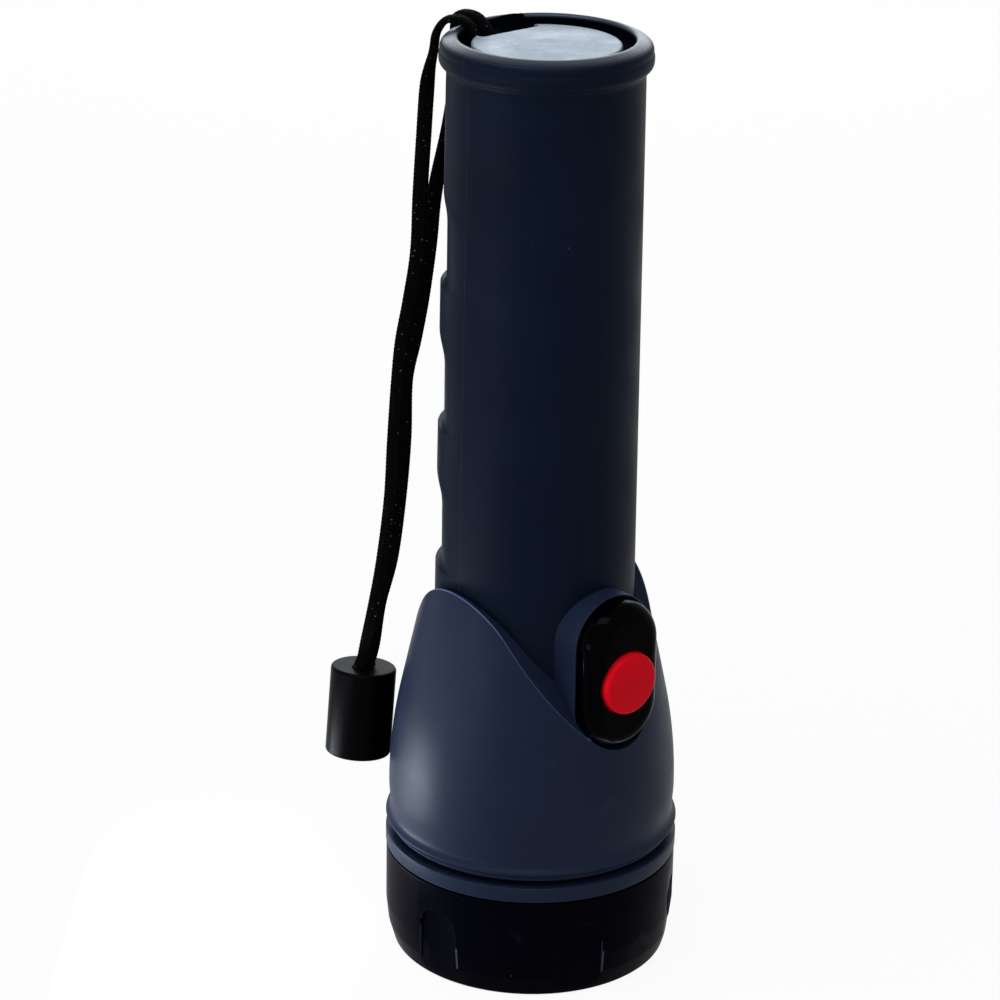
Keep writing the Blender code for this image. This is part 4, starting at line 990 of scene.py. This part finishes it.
class TORCH_OT_optics(bpy.types.Operator):
    """Window, reflector and LED behind the front ring's lip"""

    bl_idname = "torch.optics"
    bl_label = "Window and reflector"

    def execute(self, context):
        steps = context.scene.torch_sizes.steps
        seat = 28.2
        low, high = 4.1, 6.1
        corners = [(0, high, 0), (seat, high, 0.3), (seat, low, 0.3), (0, low, 0)]
        bm = spun(rounded(corners, 4), steps)
        add_piece("window_pane", bm, clear_finish(), "front_assembly", "window")

        focus, mouth, neck, wall = 5.2, 24.0, 4.8, 1.2
        flange_low, flange_high = 6.4, 7.9
        vertex = flange_low + mouth ** 2 / (4 * focus)
        top = vertex - neck ** 2 / (4 * focus)
        inner = [Vector((r, vertex - r * r / (4 * focus))) for r in spread(neck, mouth, 40)]
        outer = []
        for point in inner:
            slant = math.atan2(point.x, 2 * focus)
            spot = point + Vector((math.sin(slant), math.cos(slant))) * wall
            if flange_high < spot.y < top:
                outer.append(spot)
        profile = [(neck, top), (outer[0].x, top)] + outer
        profile += [(outer[-1].x, flange_high), (seat, flange_high), (seat, flange_low)] + inner[:0:-1]
        bm = spun(profile, steps, closed=True)
        add_piece("reflector_dish", bm, mirror_finish(), "front_assembly", "reflector", 25)

        dome = vertex - focus + 1.3
        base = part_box("led")[1].z / MM
        profile = [(0, base), (3.5, base), (3.5, dome + 0.1), (3.4, dome)]
        profile += [(2.6 * math.cos(t), dome - 2.6 * math.sin(t)) for t in spread(0, math.pi / 2, 14)]
        bm = spun(profile, 64)
        add_piece("led_dome", bm, led_finish(), "front_assembly", "led")
        return {"FINISHED"}


class TORCH_OT_collar(bpy.types.Operator):
    """Slate band with its threaded spigot, and the seal under it"""

    bl_idname = "torch.collar"
    bl_label = "Collar and seal"

    def execute(self, context):
        sizes = context.scene.torch_sizes
        band_top, neck_top = COLLAR_TOP_Z - BAND_DROP, TUBE_Z - GAP
        corners = [
            (NECK_BORE_R, neck_top, 0.2), (NECK_R, neck_top, 0.2), (NECK_R, band_top, 0.2),
            (COLLAR_R, band_top, 0.4), (COLLAR_R, COLLAR_Z, 0.4), (SPIGOT_R, COLLAR_Z, 0.1),
            (SPIGOT_R, SPIGOT_Z, 0.4), (SPIGOT_BORE_R, SPIGOT_Z, 0.2),
        ]
        bm = spun(rounded(corners), sizes.steps, closed=True)
        turns = 2.6
        steps = round(96 * turns)
        first_z = 10
        root, crest = SPIGOT_R - 0.2, SPIGOT_R + 0.3
        ridge = bmesh.new()
        section = [(root, -0.75), (crest, -0.3), (crest, 0.3), (root, 0.75)]
        face = ridge.faces.new([ridge.verts.new((r * MM, 0, (z + first_z) * MM)) for r, z in section])
        bmesh.ops.spin(ridge, geom=[face], axis=(0, 0, 1), cent=(0, 0, 0), angle=TURN * turns, steps=steps,
                       dvec=(0, 0, sizes.thread_lead * turns / steps), use_merge=False, use_duplicate=False)
        tidy(ridge)
        holder = bpy.data.meshes.new("ridge")
        ridge.to_mesh(holder)
        ridge.free()
        bm.from_mesh(holder)
        bpy.data.meshes.remove(holder)
        material = moulded("collar_plastic", context.scene.torch_colours.shell, 0.4, 0.06, dust=0.14)
        add_piece("collar", bm, material, "handle", "screw_collar", 40)

        inner = SPIGOT_R + GAP
        section = rectangle(inner, RING_H - 1.25, inner + 1.3, RING_H)
        bm = spun(rounded([(*corner, 0.3) for corner in section], 4), sizes.steps, closed=True)
        material = moulded("seal_rubber", tone(8, 8, 10), 0.7, 0.05, grain=0.0006, dust=0.3)
        add_piece("seal_ring", bm, material, "seal", "collar_seal", 50)
        return {"FINISHED"}


class TORCH_OT_head_shell(bpy.types.Operator):
    """Flared shell with a rolled lip, two side petals and the boss of the switch"""

    bl_idname = "torch.head_shell"
    bl_label = "Head shell"

    def execute(self, context):
        sizes = context.scene.torch_sizes
        steps = sizes.steps + sizes.steps // 4
        columns = [self.column(TURN * step / steps, sizes.petal_edge / MM) for step in range(steps)]
        outline = [point for point, _ in stadium(COVER_HALF_W + GAP, COVER_STRAIGHT, 36, 14)]
        seat = at_switch(prism(outline, -COVER_SINK - GAP, 12))
        bm = cut_out(banded(columns), [seat])
        colour = context.scene.torch_colours.shell
        material = moulded("shell_plastic", colour, 0.42, 0.06, dust=0.12)
        shell = add_piece("shell", bm, material, "handle", "head_shell", 50)
        self.dress_cut(shell, colour)
        bm = banded(self.boss_columns())
        add_piece("switch_boss", bm, material, "handle", "head_shell", 40)
        return {"FINISHED"}

    def dress_cut(self, shell, colour):
        """Give the sloping cut a painted highlight: a lighter line along its outer edge."""
        mesh = shell.data
        # Painted highlight: a lighter, glossier copy of the shell's plastic on the upward faces along the
        # cut's outer edge
        wear_and_painted_highlight = moulded("shell_edge_painted_highlight", tuple(part * 5 for part in colour), 0.38, 0.3, dust=0.1)
        mesh.materials.append(wear_and_painted_highlight)
        for face in mesh.polygons:
            spot = face.center / MM
            radius = spot.xy.length
            if spot.z < SHELL_BELLY_Z + 5 or face.normal.z < 0.3 or radius < TUBE_HEAD_R + 0.2:
                continue
            faces_out = spot.xy.dot(face.normal.xy) > 0
            on_edge = radius > shell_radius(spot.z) - HIGHLIGHT_EDGE_W
            face.material_index = 1 if on_edge and faces_out else 0

    def column(self, turn, edge):
        """One column of the shell: up the outside, over the cut's edge, down the bore and the cavity."""
        roof_drop = SHELL_WALL / math.cos(PETAL_SLOPE)

        def bore(height):
            return max(tube_radius(height), swell_radius(turn, height)) + GAP

        def lining(height):
            return max(shell_radius(height) - SHELL_WALL, bore(height))

        def below_cut(height):
            return roof_height(turn, shell_radius(height)) > height

        def in_cavity(height):
            return roof_height(turn, lining(height)) - roof_drop > height

        cut_z = crossing(50.0, 90.0, below_cut)
        top = max(cut_z, self.under_cover(turn, shell_radius(cut_z)))
        bore_z = top
        for _ in range(8):
            bore_z = roof_height(turn, bore(bore_z)) + top - cut_z
        foot_z = SHELL_Z + LIP_RISE
        foot = smooth_line([
            (29.85, foot_z), (29.9, 27.95), (30.25, 28.4), (30.75, 28.9), (31.03, 29.25),
            (31.04, 29.47), (30.9, 29.7), (30.55, 30.1), (30.27, 30.55), (30.13, 31.1),
            (30.11, 31.9), (30.2, 33.4), (30.34, 35.0),
        ], 3)
        wall_z = top - 1.6
        wall = [Vector((shell_radius(z), z)) for z in spread(SHELL_BELLY_Z, wall_z, 26)]
        corners = [
            (shell_radius(wall_z), wall_z, 0), (shell_radius(top), top, edge),
            (bore(bore_z), bore_z, edge / 2), (bore(bore_z - 3), bore_z - 3, 0),
        ]
        lip = rounded(corners)[1:-1]
        face = [lip[6].lerp(lip[7], share) for share in (0.2, 0.5, 0.8)]
        lip = lip[:7] + face + lip[7:]
        inside_top = min(crossing(40.0, 90.0, in_cavity), bore_z - roof_drop)
        bore_low = max(bore_z - roof_drop, inside_top)
        inside = [Vector((bore(bore_low), bore_low))]
        inside += [Vector((lining(z), z)) for z in spread(inside_top, SHELL_BELLY_Z, 10)]
        inside += [Vector((27.7, 31.9)), Vector((27.7, foot_z))]
        return [axis_point(point.x, turn, point.y) for point in foot + wall + lip + inside]

    def under_cover(self, turn, radius):
        """Height to which the shell's front runs up behind the lower end of the cover."""
        across = abs(radius * math.cos(turn))
        outer = COVER_HALF_W + GAP + BOSS_WALL
        if math.sin(turn) > 0 or across > outer:
            return 0
        middle = SWITCH_Z - COVER_STRAIGHT / 2
        return middle - math.sqrt(outer ** 2 - across ** 2) + 1.2 - 0.78 * max(across - 6.5, 0) ** 2

    def boss_columns(self):
        """Columns of the boss: up its wall, over its edge, down into the seat and the well."""
        seat = COVER_HALF_W + GAP
        outer = seat + BOSS_WALL
        well = COVER_HALF_W - COVER_WALL
        top = -0.3
        floor = -COVER_SINK - GAP
        ease = 0.2
        over_edge = [(outer - ease + ease * math.cos(t), top - ease + ease * math.sin(t))
                     for t in spread(0.2, 1.57, 4)]
        over_edge += [(seat + 0.12, top), (seat + 0.03, top - 0.05), (seat, top - 0.15), (seat, floor)]
        columns = []
        for point, out in stadium(0.0, COVER_STRAIGHT, 36, 14):
            foot = self.depth(point + out * outer)
            rise = top - 0.3 - foot
            profile = [(outer, foot + rise * share) for share in (0, 0.4, 0.7, 0.9, 1.0)]
            profile += over_edge + [(well, floor), (well, self.depth(point + out * well))]
            columns.append([switch_point(point + out * width, height) for width, height in profile])
        return columns

    def depth(self, spot):
        """How far in a wall of the boss runs: a little under the handle's surface."""

        def buried(height):
            point = switch_point(spot, height)
            return math.hypot(point.x, point.y) <= tube_radius(point.z) - 1.0

        return crossing(-SWITCH_REACH, -1.0, buried)


class TORCH_OT_handle(bpy.types.Operator):
    """Tapered handle with its rolled rim, tail pocket and finger scoops"""

    bl_idname = "torch.handle"
    bl_label = "Handle"

    def execute(self, context):
        sizes = context.scene.torch_sizes
        bm = spun(self.profile(), sizes.steps)
        for vert in bm.verts:
            height = vert.co.z / MM
            radius = math.hypot(vert.co.x, vert.co.y) / MM
            if 41 < height < 190.7 and radius > 19.5:
                turn = math.atan2(vert.co.y, vert.co.x)
                vert.co = axis_point(handle_radius(turn, height, sizes.grip_depth / MM), turn, height) * MM
        half = CAP_SLOT_HALF_W
        pocket_foot = (-half, CAP_SLOT_Y + 2.5, POCKET_Z + 0.5)
        pocket = block(pocket_foot, (half, RIM_OPENING_R - GAP, RIM_TOP_Z + 2.74))
        half = SWITCH_BODY_SIDE / 2 + GAP
        window = rectangle(-half, -BUTTON_DROP - half, half, -BUTTON_DROP + half)
        window = at_switch(prism(window, -9, 0))
        half = CHANNEL_W / 2
        channel = block((-half, -BORE_R - CHANNEL_DEPTH, TUBE_Z - 1), (half, -9, BULKHEAD_Z - 0.01))
        bm = cut_out(bm, [pocket, window, channel])
        colour = context.scene.torch_colours.handle
        handle = add_piece("handle", bm, handle_finish(colour), "handle", "handle_tube", 50)
        self.dress_rim(handle, colour)
        return {"FINISHED"}

    def wall_rows(self):
        """Heights of the wall's rows, close together at the ends of the finger scoops."""
        heights = set(spread(42, 84, 21) + spread(84, 190.4, 106))
        toe = (-0.6, -0.3, -0.15, -0.06, 0, 0.06, 0.15, 0.3, 0.45, 0.7, 1.0, 1.5)
        for low in GRIP_ZS:
            heights.update(low + step for step in toe)
            heights.update(spread(low + GRIP_LENGTH - 10, low + GRIP_LENGTH + 0.5, 18))
        rows = sorted(heights)
        return [rows[0]] + [b for a, b in zip(rows, rows[1:]) if b - a > 0.04]

    def profile(self):
        """Profile of the plain handle: its bore, the foot, the wall, the rolled rim and the tail pocket."""
        foot_z = TUBE_Z + 2.5
        below = [
            (0, BULKHEAD_Z), (BORE_R, BULKHEAD_Z), (BORE_R, TUBE_Z), (NECK_R, TUBE_Z), (NECK_R, foot_z),
            (tube_radius(foot_z), foot_z),
        ]
        wall = [(tube_radius(z), z) for z in self.wall_rows()]
        rim = smooth_line([
            (19.88, 191.0), (19.9, 191.7), (19.97, 192.2), (20.12, 192.6), (20.42, 193.0),
            (20.85, 193.4), (21.2, 193.85), (21.4, 194.4), (RIM_R, 195.0), (RIM_R, 195.6),
            (21.4, 195.95), (21.24, 196.22), (21.2, 196.5), (21.25, 196.85), (21.22, 197.25),
            (21.05, 197.72), (20.7, 198.15), (20.2, 198.5), (19.5, 198.84), (18.95, 199.08),
            (18.49, RIM_CREST_Z - 0.01),
        ], 3)
        curl = 0.75
        roll = [Vector((18.4 + curl * math.cos(t), RIM_CREST_Z - curl + curl * math.sin(t)))
                for t in spread(1.45, math.pi, 12)]
        inside = [
            (RIM_OPENING_R - 0.4, 197.9), (RIM_OPENING_R, 197.3), (RIM_OPENING_R, LEDGE_Z + 0.3),
            (RIM_OPENING_R - 0.3, LEDGE_Z), (LEDGE_R + 0.2, LEDGE_Z), (LEDGE_R, LEDGE_Z - 0.2),
            (LEDGE_R, POCKET_Z), (0, POCKET_Z),
        ]
        return below + wall + rim + roll[1:] + inside

    def dress_rim(self, handle, colour):
        """Give the rim's top a painted sheen, a stronger reflection that fades over the shoulder, and the
        pocket's walls painted shade.
        """
        mesh = handle.data
        # Painted sheen: copies of the handle's plastic with a stronger, faintly blue reflection on the rim's
        # top bands, weaker over the shoulder
        sheen_bands = (("rim_painted_sheen_top", 0.42), ("rim_painted_sheen_shoulder", 0.24), ("rim_painted_sheen_fading", 0.1))
        for name, specular in sheen_bands:
            material = moulded(name, colour, 0.4, specular, dust=0.1, depth=0.000006)
            shader = material.node_tree.nodes["Principled BSDF"]
            shader.inputs["Specular Tint"].default_value = (0.78, 0.9, 1, 1)
            mesh.materials.append(material)
        crest_z, shoulder_z, slope_z = 198.75, 198.4, 198.0
        # Painted shade: a darker, duller copy of the handle's plastic on the pocket's inner walls
        painted_shade_colour = tuple(part * 0.3 for part in colour)
        mesh.materials.append(moulded("pocket_painted_shade", painted_shade_colour, 0.6, 0.01, dust=0.05))
        for face in mesh.polygons:
            radius = math.hypot(face.center.x, face.center.y) / MM
            height = face.center.z / MM
            if height < BULKHEAD_Z + 1 or radius > RIM_R:
                continue
            if height > crest_z:
                face.material_index = 1
            elif height > shoulder_z:
                face.material_index = 2
            elif height > slope_z and radius > RIM_OPENING_R:
                face.material_index = 3
            elif radius < RIM_OPENING_R + 0.1:
                face.material_index = 4


class TORCH_OT_switch(bpy.types.Operator):
    """Gloss cover and the red push button in it"""

    bl_idname = "torch.switch"
    bl_label = "Switch"

    def execute(self, context):
        sizes = context.scene.torch_sizes
        colours = context.scene.torch_colours
        under = COVER_RISE - COVER_PLATE_T
        bm = banded(self.cover_columns(sizes.cover_shoulder / MM, under))
        material = gloss_finish(colours.cover)
        cover = add_piece("cover", bm, material, "handle", "switch_cover", 40)
        # Painted reflection: the downward faces of the cover's lower shoulder get a navy, glossier material
        # in place of the floor's reflection
        painted_reflection = moulded("gloss_black_painted_reflection", tone(4, 8, 26), 0.12, 0.14, dust=0.1, depth=0.000002)
        cover.data.materials.append(painted_reflection)
        for face in cover.data.polygons:
            height = -face.center.y / MM - SWITCH_REACH
            low_end = face.center.z / MM < SWITCH_Z - 8
            if face.normal.z < -0.45 and 0 < height < COVER_RISE and low_end:
                face.material_index = 1

        face = COVER_RISE + BUTTON_RISE
        crown = sizes.button_crown / MM
        edge = 0.9
        flat = BUTTON_R - edge
        profile = [(r, face + crown * (1 - (r / flat) ** 2)) for r in spread(0, flat, 10)]
        profile += round_edge(BUTTON_R, face, edge, 0.12, 10)
        flange, flange_r, flange_low = under - GAP, BUTTON_R + 1, under - GAP - 1
        stem_r, stem_low = 2.4, -4.15
        profile += [
            (BUTTON_R, flange), (flange_r, flange), (flange_r, flange_low), (stem_r, flange_low),
            (stem_r, stem_low), (0, stem_low),
        ]
        bm = spun(profile, 128)
        bm.transform(Matrix.Translation((0, -BUTTON_DROP * MM, 0)))
        at_switch(bm)
        material = moulded(
            "button_plastic", colours.button, 0.38, 0.03, grain=0.0005, depth=0.000008, dust=0.12)
        add_piece("button_cap", bm, material, "button", "push_button", 40)
        return {"FINISHED"}

    def cover_columns(self, shoulder, under):
        """Columns of the cover: up its side, over its face, down the button's hole and back under."""
        hole_r = BUTTON_R + 0.4
        hole = Vector((0, -BUTTON_DROP))
        ease = 0.3
        low = -COVER_SINK
        columns = []
        for point, out in stadium(0.0, COVER_STRAIGHT, 36, 14):
            edge = point + out * COVER_HALF_W
            inner = point + out * (COVER_HALF_W - COVER_WALL)
            spoke = (edge - hole).normalized()
            lip = hole + spoke * (hole_r + ease)
            run = (edge - lip).length
            bend = math.acos(max(1 - run / shoulder, 0))
            rows = [(inner, low), (point + out * (COVER_HALF_W - 0.15), low), (edge, low + 0.15)]
            steps = [shoulder * (1 - math.cos(t)) for t in spread(0, bend, 14)]
            steps += spread(steps[-1], run, 5)[1:]
            spots = [edge - spoke * step for step in steps]
            rows += [(spot, cover_height(spot, shoulder)) for spot in spots]
            top = rows[-1][1]
            for t in spread(0, math.pi / 2, 4)[1:]:
                reach = hole_r + ease * (1 - math.sin(t))
                rows.append((hole + spoke * reach, top - ease * (1 - math.cos(t))))
            rows += [(hole + spoke * hole_r, under), (inner, under)]
            columns.append([switch_point(spot, height) for spot, height in rows])
        return columns


class TORCH_OT_tail(bpy.types.Operator):
    """Pale disc that closes the tail, with its slot for the cord"""

    bl_idname = "torch.tail"
    bl_label = "Tail disc"

    def execute(self, context):
        dimple = ((0, 0.1), (1.2, 0.1), (1.9, 0.05), (2.3, 0.01))
        crown = [(r, CAP_TOP_Z - drop) for r, drop in dimple]
        crown += [(r, CAP_TOP_Z - 0.2 * (r / CAP_R) ** 2) for r in spread(3.2, CAP_R - 0.5, 8)]
        crown += round_edge(CAP_R, CAP_TOP_Z - 0.19, 0.5, 0.1, 6)
        low, under, inner = POCKET_Z + GAP, CAP_TOP_Z - 1.8, CAP_R - 1.5
        profile = crown + [(CAP_R, low), (inner, low), (inner, under), (0, under)]
        bm = spun(profile, context.scene.torch_sizes.steps)
        half = CAP_SLOT_HALF_W
        outline = rounded([(-half, CAP_SLOT_Y, 1.0), (half, CAP_SLOT_Y, 1.0), (half, 20, 0), (-half, 20, 0)])
        bm = cut_out(bm, [prism(outline, low - 1, CAP_TOP_Z + 2)], 0.3)
        material = cap_finish(context.scene.torch_colours.cap)
        add_piece("tail_disc", bm, material, "handle", "tail_cap", 40)
        return {"FINISHED"}


class TORCH_OT_inner_parts(bpy.types.Operator):
    """Finishes of the inner pieces, which keep their solids' shapes"""

    bl_idname = "torch.inner_parts"
    bl_label = "Inner pieces"

    def execute(self, context):
        steel = metal_finish("spring_steel", tone(176, 178, 182), 0.3)
        brass = metal_finish("contact_brass", tone(198, 160, 90), 0.34)
        white = moulded("holder_plastic", tone(212, 213, 208), 0.5, 0.5, dust=0.05)
        black = moulded("switch_plastic", tone(20, 20, 24), 0.5, 0.4, dust=0.05)
        rubber = moulded("gasket_rubber", tone(24, 24, 26), 0.75, 0.3, grain=0.0006)
        film = jacket_finish()
        finishes = {
            "window_gasket": rubber, "led_board": board_finish(), "module_holder": white,
            "contact_ring": brass, "centre_contact": brass, "battery_1": film, "battery_2": film,
            "tail_spring": steel, "tail_plate": steel, "tail_strip": brass, "head_strip": brass,
            "switch_body": black, "cord_pin": steel,
        }
        for name, material in finishes.items():
            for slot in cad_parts[name].material_slots:
                slot.material = material
        return {"FINISHED"}


class TORCH_OT_stage(bpy.types.Operator):
    """Pale floor, soft lights and a plain world"""

    bl_idname = "torch.stage"
    bl_label = "Stage"

    def execute(self, context):
        studio = context.scene.torch_studio
        bm = bmesh.new()
        place = Matrix.Translation((0, 0, -FLOOR_DROP * MM))
        bmesh.ops.create_grid(bm, x_segments=1, y_segments=1, size=4, matrix=place)
        floor = bare_object("floor", bm)
        floor.data.materials.append(self.paper())
        self.world(context, studio.world)
        self.softbox("top_light", (-0.30, -0.10, 0.75), (0, 0, 0.12), 0.8, 0.24, studio.key)
        self.softbox("side_light", (-0.55, 0.06, 0.05), (0, 0, 0.03), 0.3, 0.12, studio.fill)
        self.softbox("glow_light", (-0.078, 0.066, 0.013), (-0.024, 0.018, 0.026), 0.05, 0.022, studio.glow)
        self.softbox("back_light", (0.62, 0.74, 0.50), (0, 0, 0.15), 0.9, 0.4, studio.back)
        context.scene.view_settings.view_transform = "Standard"
        return {"FINISHED"}

    def seen_share(self, tree):
        """The socket that says 1 where the camera looks, also in a gloss or through clear plastic."""
        rays = add_node(tree, "ShaderNodeLightPath").outputs
        share = rays["Is Camera Ray"]
        for name in ("Is Glossy Ray", "Is Transmission Ray"):
            most = add_node(tree, "ShaderNodeMath", {0: share, 1: rays[name]}, operation="MAXIMUM")
            share = most.outputs[0]
        return share

    def paper(self):
        """White paper that keeps a faint shadow of the torch."""
        material = bpy.data.materials.new("paper")
        material.use_nodes = True
        tree = material.node_tree
        tree.nodes.clear()
        whiteness = 0.93
        values = {0: self.seen_share(tree), 1: whiteness}
        share = add_node(tree, "ShaderNodeMath", values, operation="MULTIPLY").outputs[0]
        plain = add_node(tree, "ShaderNodeBsdfDiffuse", {"Color": (0.8, 0.8, 0.8, 1)}).outputs[0]
        white = add_node(tree, "ShaderNodeEmission", {"Strength": 1.0}).outputs[0]
        mix = add_node(tree, "ShaderNodeMixShader", {0: share, 1: plain, 2: white}).outputs[0]
        add_node(tree, "ShaderNodeOutputMaterial", {"Surface": mix})
        return material

    def world(self, context, level):
        """Even light from all round, which looks white itself."""
        world = bpy.data.worlds.new("studio")
        context.scene.world = world
        world.use_nodes = True
        tree = world.node_tree
        tree.nodes.clear()
        values = {"Value": self.seen_share(tree), "To Min": level, "To Max": 1.0}
        strength = add_node(tree, "ShaderNodeMapRange", values).outputs["Result"]
        values = {"Color": (1, 1, 1, 1), "Strength": strength}
        light = add_node(tree, "ShaderNodeBackground", values).outputs[0]
        add_node(tree, "ShaderNodeOutputWorld", {"Surface": light})

    def softbox(self, name, spot, aim, width, height, power):
        """A square lamp of faintly blue light at a spot, turned to a point."""
        data = bpy.data.lights.new(name, "AREA")
        data.color = (0.86, 0.93, 1.0)
        data.shape = "RECTANGLE"
        data.size = width
        data.size_y = height
        data.energy = power
        lamp = bpy.data.objects.new(name, data)
        bpy.context.scene.collection.objects.link(lamp)
        lamp.location = spot
        lamp.rotation_mode = "QUATERNION"
        lamp.rotation_quaternion = (Vector(aim) - Vector(spot)).to_track_quat("-Z", "Y")


class TORCH_PT_panel(bpy.types.Panel):
    """The torch's pieces, sizes and colours"""

    bl_label = "Torch"
    bl_idname = "TORCH_PT_panel"
    bl_space_type = "VIEW_3D"
    bl_region_type = "UI"
    bl_category = "Torch"

    def draw(self, context):
        layout = self.layout
        scene = context.scene
        for group in (scene.torch_sizes, scene.torch_colours, scene.torch_studio):
            box = layout.box()
            for name in group.__annotations__:
                box.prop(group, name)
        for operator in OPERATORS:
            layout.operator(operator.bl_idname)


OPERATORS = (
    TORCH_OT_camera, TORCH_OT_cord, TORCH_OT_front_ring, TORCH_OT_optics, TORCH_OT_collar,
    TORCH_OT_head_shell, TORCH_OT_handle, TORCH_OT_switch, TORCH_OT_tail, TORCH_OT_inner_parts,
    TORCH_OT_stage,
)
CLASSES = (TorchSizes, TorchColours, TorchStudio) + OPERATORS + (TORCH_PT_panel,)


def register():
    """Add the classes and the scene's settings."""
    for item in CLASSES:
        bpy.utils.register_class(item)
    bpy.types.Scene.torch_sizes = PointerProperty(type=TorchSizes)
    bpy.types.Scene.torch_colours = PointerProperty(type=TorchColours)
    bpy.types.Scene.torch_studio = PointerProperty(type=TorchStudio)


def unregister():
    """Take the settings and the classes away."""
    del bpy.types.Scene.torch_sizes
    del bpy.types.Scene.torch_colours
    del bpy.types.Scene.torch_studio
    for item in reversed(CLASSES):
        bpy.utils.unregister_class(item)


def main():
    """Make every piece in order."""
    register()
    bpy.ops.torch.camera()
    bpy.ops.torch.cord()
    bpy.ops.torch.front_ring()
    bpy.ops.torch.optics()
    bpy.ops.torch.collar()
    bpy.ops.torch.head_shell()
    bpy.ops.torch.handle()
    bpy.ops.torch.switch()
    bpy.ops.torch.tail()
    bpy.ops.torch.inner_parts()
    bpy.ops.torch.stage()


if __name__ == "__main__":
    main()
